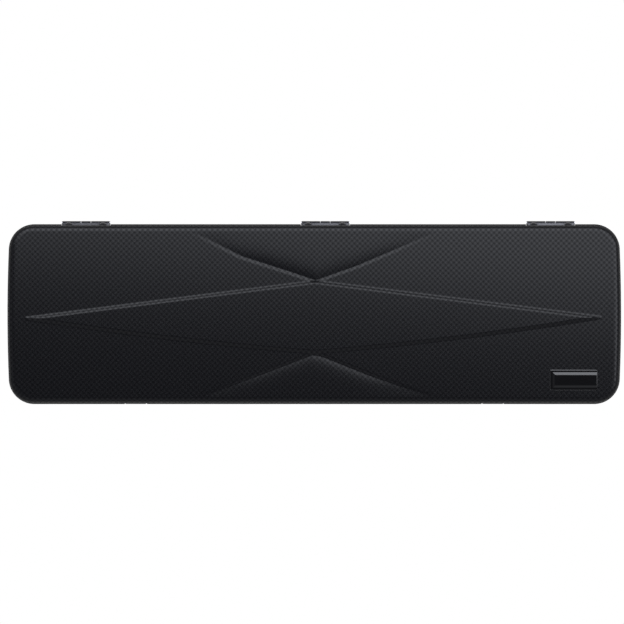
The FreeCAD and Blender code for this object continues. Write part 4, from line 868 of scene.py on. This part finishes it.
def makeBadge():
    s = badgePlate
    tilt = math.asin(s["y"] / lidShell["crown"])
    radius = lidShell["crown"] - s["sink"]
    seatY = radius * math.sin(tilt)
    seatZ = lidShell["top"] - lidShell["crown"] + radius * math.cos(tilt)
    points = []
    for inset, height in s["profile"]:
        for x, y, z in badgeRing(inset, height):
            points.append((s["x"] + x, seatY + y * math.cos(tilt) + z * math.sin(tilt),
                           seatZ - y * math.sin(tilt) + z * math.cos(tilt)))
    size = 4 * s["cornerPoints"]
    mesh = makeMesh("badgeDome", points, ringFaces(len(s["profile"]), size, closed=True), sharp=60)
    makePiece("badgeDome", mesh, finishes["badge"], "lid", ["badge_plate"])
    mesh.materials.append(finishes["badgeEdge"])
    for polygon in mesh.polygons:
        if polygon.index < s["brightRings"] * size:
            polygon.material_index = 1


makeBadge()
print("badge place made")


# Padded tray: plush pressed into troughs for the flute's joints

trayPlush = {
    "inset": 6.9,
    "top": 37.8,
    "steps": (1.15, 1.15),
    "thickness": 1.1,
    "edge": 2.0,
    "edgeSteps": 4,
    "edgeDrop": 0.6,         # share of a full rounding by which the outer edge falls
    "lip": 1.4,
    "lipShift": 0.3,
    "planCorner": 3.0,
    "bowlStart": (-0.2, 1.8),
    # Left, right, middle line, width, depth, rounding of the floor
    "troughs": (
        (-190.0, 166.0, -24.0, 25.0, 25.0, 10.5),
        (-152.0, 140.0, -24.0, 38.0, 21.0, 11.4),
        (-190.0, 44.0, 22.0, 25.0, 25.0, 10.5),
        (-66.0, -12.0, 22.0, 34.0, 22.0, 10.2),
        (58.0, 190.0, 22.0, 25.0, 25.0, 10.5),
        (70.0, 178.0, 22.0, 36.0, 22.0, 10.8),
        (-190.0, 180.0, 49.0, 9.0, 11.0, 3.8),
        (173.0, 201.0, -24.0, 34.0, 24.0, 5.1),
    ),
}


def troughDrop(x, y, left, right, middle, width, depth, corner):
    s = trayPlush
    turn = s["planCorner"]
    inX = np.minimum(x - left, right - x)
    inY = width / 2 - np.abs(y - middle)
    away = np.hypot(np.minimum(inX - turn, 0), np.minimum(inY - turn, 0))
    inside = np.where((inX < turn) | (inY < turn), turn - away, np.minimum(inX, inY))
    wall = smooth(-s["lip"], s["lip"], inside - s["lipShift"]) * (depth - corner)
    return wall + arcHeight(corner, np.maximum(inY, 0)) * smooth(*s["bowlStart"], inside)


def makeTray():
    s = trayPlush
    x, y = outlineGrid(s["inset"], s["edge"], s["steps"], s["edgeSteps"])
    drop = np.zeros_like(x)
    for trough in s["troughs"]:
        drop = np.maximum(drop, troughDrop(x, y, *trough))
    fall = s["edge"] - arcHeight(s["edge"], insideBy(x, y, s["inset"]))
    z = s["top"] - drop - s["edgeDrop"] * fall
    top = gridPoints(x, y, z)
    points = top + gridPoints(x, y, z - s["thickness"])
    faces = gridFaces(*x.shape) + gridFaces(*x.shape, start=len(top), down=True)
    faces += joinLoops(gridRim(*x.shape, start=len(top)), gridRim(*x.shape))
    mesh = makeMesh("trayPadding", points, faces, sharp=80)
    nodes = ["tray_lining", "tray_core"]
    piece = makePiece("trayPadding", mesh, finishes["plush"], "base", nodes)


makeTray()
print("tray made")


# Lid cushion: a foam pad in plush, blown up a little and then sewn down in two channels

lidCushion = {
    "inset": 5.9,
    "top": 63.6,
    "bottom": 49.2,
    "crown": 900.0,
    "under": 700.0,          # radius of the crowned underside
    "edge": 5.0,
    "edgeSteps": 6,
    "upperEdge": ((0.0, 3.0), (1.0, 1.0), (3.0, 0.0)),      # in from the side, down from the top
    "innerRings": (14.0, 30.0),
    "step": 8.0,
    "voxel": 5.0,
    "pressure": 4.0,
    "mass": 0.3,             # kilograms at each corner of the cloth
    "quality": 5,
    "frames": 20,
    "cap": 1.1,              # how far the underside may swell
    "sideShare": 0.15,       # the sides stay clear of the rim's lip
    "glued": 56.0,           # the back above this height is glued under the lid
    "channels": (-28.0, 28.0),
    "channelDepth": 3.2,
    "channelHalf": 4.2,
    "channelSharp": 2,       # steepness of the channel's sides
    "channelTop": 6.0,       # over the bottom
    "channelEnd": (202.0, 190.0),
}


def cushionUnder(y):
    s = lidCushion
    return s["bottom"] + s["under"] - math.sqrt(s["under"] ** 2 - y ** 2)


def cushionTop(y):
    return float(crownHeight(y, lidCushion["top"], lidCushion["crown"]))


# Rings over the pad from the middle of its underside to the middle of its top
def cushionLoops():
    s = lidCushion
    near, far = s["innerRings"]
    turns = np.linspace(0, math.pi / 2, s["edgeSteps"])
    lower = [(far, 0.0), (near, 0.0)]
    lower += [(s["edge"] * (1 - math.sin(turn)), s["edge"] * (1 - math.cos(turn))) for turn in turns]
    upper = [*s["upperEdge"], (near, 0.0), (far, 0.0)]
    loops = []
    for rings, height, way in ((lower, cushionUnder, 1), (upper, cushionTop, -1)):
        for inset, change in rings:
            outline = outlineLoop(s["inset"] + inset, s["step"])
            loops.append([(x, y, height(y) + way * change) for x, y in outline])
    return loops


def swell(pad):
    s = lidCushion
    scene = bpy.context.scene
    cloth = pad.modifiers.new("cloth", "CLOTH")
    cloth.settings.use_pressure = True
    cloth.settings.uniform_pressure_force = s["pressure"]
    cloth.settings.effector_weights.gravity = 0.0
    cloth.settings.quality = s["quality"]
    cloth.settings.mass = s["mass"]
    cloth.point_cache.frame_start = 1
    cloth.point_cache.frame_end = s["frames"]
    for number in range(1, s["frames"] + 1):
        scene.frame_set(number)
    bakeModifiers(pad)
    scene.frame_set(1)


def cornersOf(mesh):
    return np.array([v.co[:] for v in mesh.vertices])


def sewChannels(mesh):
    s = lidCushion
    for vertex in mesh.vertices:
        x, y, z = vertex.co / mm
        if z < s["bottom"] + s["channelTop"] and abs(x) < s["channelEnd"][0]:
            for middle in s["channels"]:
                pull = math.exp(-((y - middle) / s["channelHalf"]) ** 2 * s["channelSharp"])
                z += s["channelDepth"] * pull * float(smooth(*s["channelEnd"], np.array(abs(x))))
            vertex.co.z = z * mm


def makeCushion():
    s = lidCushion
    loops = cushionLoops()
    size = min(len(loop) for loop in loops)
    points = []
    for loop in loops:
        # Inner loops are shorter, so each is read at the same shares of its length
        points += [loop[int(pick)] for pick in np.linspace(0, len(loop), size, endpoint=False)]
    faces = ringFaces(len(loops), size, closed=True)
    pad = addObject("lidCushion", makeMesh("cushionPad", points, faces, sharp=180))
    remesh = pad.modifiers.new("even", "REMESH")
    remesh.mode = "VOXEL"
    remesh.voxel_size = s["voxel"] * mm
    still = cornersOf(bakeModifiers(pad))
    swell(pad)
    change = np.clip(cornersOf(pad.data) - still, -s["cap"] * mm, s["cap"] * mm)
    change[:, :2] *= s["sideShare"]
    change[still[:, 2] > s["glued"] * mm] = 0.0
    for vertex, spot in zip(pad.data.vertices, still + change):
        vertex.co = spot
    finer = pad.modifiers.new("finer", "SUBSURF")
    finer.levels = finer.render_levels = 1
    mesh = bakeModifiers(pad)
    sewChannels(mesh)
    mesh.shade_smooth()
    dressPiece(pad, finishes["cushion"], "lid", ["lid_cushion"])
    print("lid cushion made", len(mesh.vertices))


makeCushion()


# Copies of one small piece along the edges of a path mesh

def makeRepeatTree():
    tree = bpy.data.node_groups.new("repeatAlong", "GeometryNodeTree")
    face = tree.interface
    face.new_socket("Path", in_out="INPUT", socket_type="NodeSocketGeometry")
    spacing = face.new_socket("Spacing", in_out="INPUT", socket_type="NodeSocketFloat")
    shape = face.new_socket("Shape", in_out="INPUT", socket_type="NodeSocketObject")
    finish = face.new_socket("Finish", in_out="INPUT", socket_type="NodeSocketMaterial")
    face.new_socket("Pieces", in_out="OUTPUT", socket_type="NodeSocketGeometry")
    nodes, links = tree.nodes, tree.links
    entry = nodes.new("NodeGroupInput")
    leave = nodes.new("NodeGroupOutput")
    curve = nodes.new("GeometryNodeMeshToCurve")
    evenly = nodes.new("GeometryNodeResampleCurve")
    evenly.mode = "LENGTH"
    tangent = nodes.new("GeometryNodeInputTangent")
    turn = nodes.new("FunctionNodeAlignRotationToVector")
    turn.axis = "X"
    source = nodes.new("GeometryNodeObjectInfo")
    copies = nodes.new("GeometryNodeInstanceOnPoints")
    real = nodes.new("GeometryNodeRealizeInstances")
    paint = nodes.new("GeometryNodeSetMaterial")
    links.new(entry.outputs["Path"], curve.inputs[0])
    links.new(curve.outputs[0], evenly.inputs["Curve"])
    links.new(entry.outputs["Spacing"], evenly.inputs["Length"])
    links.new(entry.outputs["Shape"], source.inputs["Object"])
    links.new(tangent.outputs[0], turn.inputs["Vector"])
    links.new(evenly.outputs[0], copies.inputs["Points"])
    links.new(source.outputs["Geometry"], copies.inputs["Instance"])
    links.new(turn.outputs[0], copies.inputs["Rotation"])
    links.new(copies.outputs[0], real.inputs[0])
    links.new(real.outputs[0], paint.inputs["Geometry"])
    links.new(entry.outputs["Finish"], paint.inputs["Material"])
    links.new(paint.outputs[0], leave.inputs[0])
    return tree, spacing.identifier, shape.identifier, finish.identifier


repeatTree, spacingSocket, shapeSocket, finishSocket = makeRepeatTree()


def repeatAlong(name, lines, spacing, shapeMesh, finish, body):
    points, edges = [], []
    for line in lines:
        start = len(points)
        points += [(x * mm, y * mm, z * mm) for x, y, z in line]
        edges += [(start + i, start + i + 1) for i in range(len(line) - 1)]
    path = bpy.data.meshes.new(name + "Path")
    path.from_pydata(points, edges, [])
    carrier = addObject(name + "Path", path)
    shape = addObject(name + "Shape", shapeMesh)
    modifier = carrier.modifiers.new("repeat", "NODES")
    modifier.node_group = repeatTree
    modifier[spacingSocket] = spacing * mm
    modifier[shapeSocket] = shape
    modifier[finishSocket] = finish
    mesh = bakeModifiers(carrier)
    bpy.data.objects.remove(carrier)
    bpy.data.objects.remove(shape)
    mesh.shade_smooth()
    makePiece(name, mesh, finish, body)


# Stitches along the cushion's channels

stitchRow = {
    "length": 3.4,
    "radius": 0.28,
    "sink": 0.15,            # into the channel's floor
    "spacing": 5.0,
    "reach": 188.0,
    "sides": 8,
    # shares of the length and of the radius
    "profile": ((-0.5, 0.05), (-0.47, 0.6), (-0.38, 0.95), (0.38, 0.95), (0.47, 0.6), (0.5, 0.05)),
}


def circle(radius, sides):
    turns = [2 * math.pi * i / sides for i in range(sides)]
    return [(radius * math.cos(turn), radius * math.sin(turn)) for turn in turns]


# A short round-ended bar along X
def makeStitch():
    s = stitchRow
    points = []
    for x, share in s["profile"]:
        points += [(x * s["length"], y, z) for y, z in circle(share * s["radius"], s["sides"])]
    return makeMesh("stitch", points, ringFaces(len(s["profile"]), s["sides"], closed=True), sharp=180)


def makeStitches():
    s = stitchRow
    lines = []
    for middle in lidCushion["channels"]:
        height = cushionUnder(middle) + lidCushion["channelDepth"] - s["sink"]
        lines.append([(-s["reach"], middle, height), (s["reach"], middle, height)])
    stitch = makeStitch()
    repeatAlong("cushionStitches", lines, s["spacing"], stitch, finishes["stitch"], "lid")


makeStitches()
print("stitches made")


# Handle grip: a moulded rubber sleeve with fine ribs round it

gripSleeve = {
    "y": -57.4,
    "z": 15.2,
    "length": 96.0,
    "depth": 9.4,
    "height": 12.4,
    "roundness": 3.0,        # 2 is an ellipse, more is squarer
    "sides": 40,
    "endRounding": ((0.0, 1.4), (0.5, 0.5), (1.2, 0.0)),     # in from the end, in from the surface
    "collar": 5.0,
    "collarSlope": 0.8,
    "waist": 0.5,
    "bore": 2.66,
    "ribReach": 38.0,
    "ribSpacing": 2.6,
    "ribSides": 24,
    "ribSection": ((-0.6, -0.4), (-0.35, 0.12), (0.35, 0.12), (0.6, -0.4)),      # along X, over the waist
}


# A squarish ring round the sleeve's line
def gripRing(x, shrink, sides):
    s = gripSleeve
    power = 2.0 / s["roundness"]
    ring = []
    for c, n in circle(1.0, sides):
        y = math.copysign(abs(c) ** power, c) * (s["depth"] / 2 - shrink)
        z = math.copysign(abs(n) ** power, n) * (s["height"] / 2 - shrink)
        ring.append((x, y, z))
    return ring


def makeGrip():
    s = gripSleeve
    sides = s["sides"]
    half = s["length"] / 2
    stations = [*s["endRounding"], (s["collar"], 0.0), (s["collar"] + s["collarSlope"], s["waist"])]
    rings = [gripRing(-half + x, shrink, sides) for x, shrink in stations]
    rings += [gripRing(half - x, shrink, sides) for x, shrink in stations[::-1]]
    faces = ringFaces(len(rings), sides)
    # The bore through the sleeve, and the flat ends round it
    first, last = ringAt(0, sides), ringAt(len(rings) - 1, sides)
    nearBore, farBore = ringAt(len(rings), sides), ringAt(len(rings) + 1, sides)
    rings += [[(x, y, z) for y, z in circle(s["bore"], sides)] for x in (-half, half)]
    faces += joinLoops(nearBore, first) + joinLoops(last, farBore) + joinLoops(farBore, nearBore)
    points = [(x, s["y"] + y, s["z"] + z) for ring in rings for x, y, z in ring]
    mesh = makeMesh("gripSleeve", points, faces, sharp=50)
    makePiece("gripSleeve", mesh, finishes["grip"], "handle", ["handle_grip"])


def makeGripRibs():
    s = gripSleeve
    points = []
    for x, lift in s["ribSection"]:
        points += gripRing(x, s["waist"] - lift, s["ribSides"])
    shape = makeMesh("rib", points, ringFaces(len(s["ribSection"]), s["ribSides"]), sharp=180)
    line = [(-s["ribReach"], s["y"], s["z"]), (s["ribReach"], s["y"], s["z"])]
    repeatAlong("gripRibs", [line], s["ribSpacing"], shape, finishes["grip"], "handle")


makeGrip()
makeGripRibs()
print("handle grip made")


# Rubber seal: a cord with a round crest in the rim's groove

sealCord = {
    "outer": 3.78,
    "inner": 5.22,
    "low": 39.3,
    "high": 40.2,
    "shoulder": 0.35,        # share of the height that is straight
    "crest": (0.8, 0.2),     # half turns over the crest, and its points
    "crestPoints": 4,
}


def makeSeal():
    s = sealCord
    middle = (s["outer"] + s["inner"]) / 2
    half = (s["inner"] - s["outer"]) / 2
    rise = s["high"] - s["low"]
    shoulder = s["low"] + s["shoulder"] * rise
    profile = [(s["outer"], s["low"]), (s["outer"], shoulder)]
    for turn in np.linspace(*s["crest"], s["crestPoints"]) * math.pi:
        height = s["shoulder"] + (1 - s["shoulder"]) * math.sin(turn)
        profile.append((middle + half * math.cos(turn), s["low"] + rise * height))
    profile += [(s["inner"], shoulder), (s["inner"], s["low"])]
    points = []
    for inset, height in profile:
        points += [(x, y, height) for x, y in outlineLoop(inset)]
    size = len(points) // len(profile)
    faces = ringFaces(len(profile), size)
    faces += joinLoops(ringAt(len(profile) - 1, size), ringAt(0, size))
    mesh = makeMesh("sealCord", points, faces, sharp=60)
    makePiece("sealCord", mesh, finishes["seal"], "base", ["rim_seal"])


makeSeal()
print("seal made")
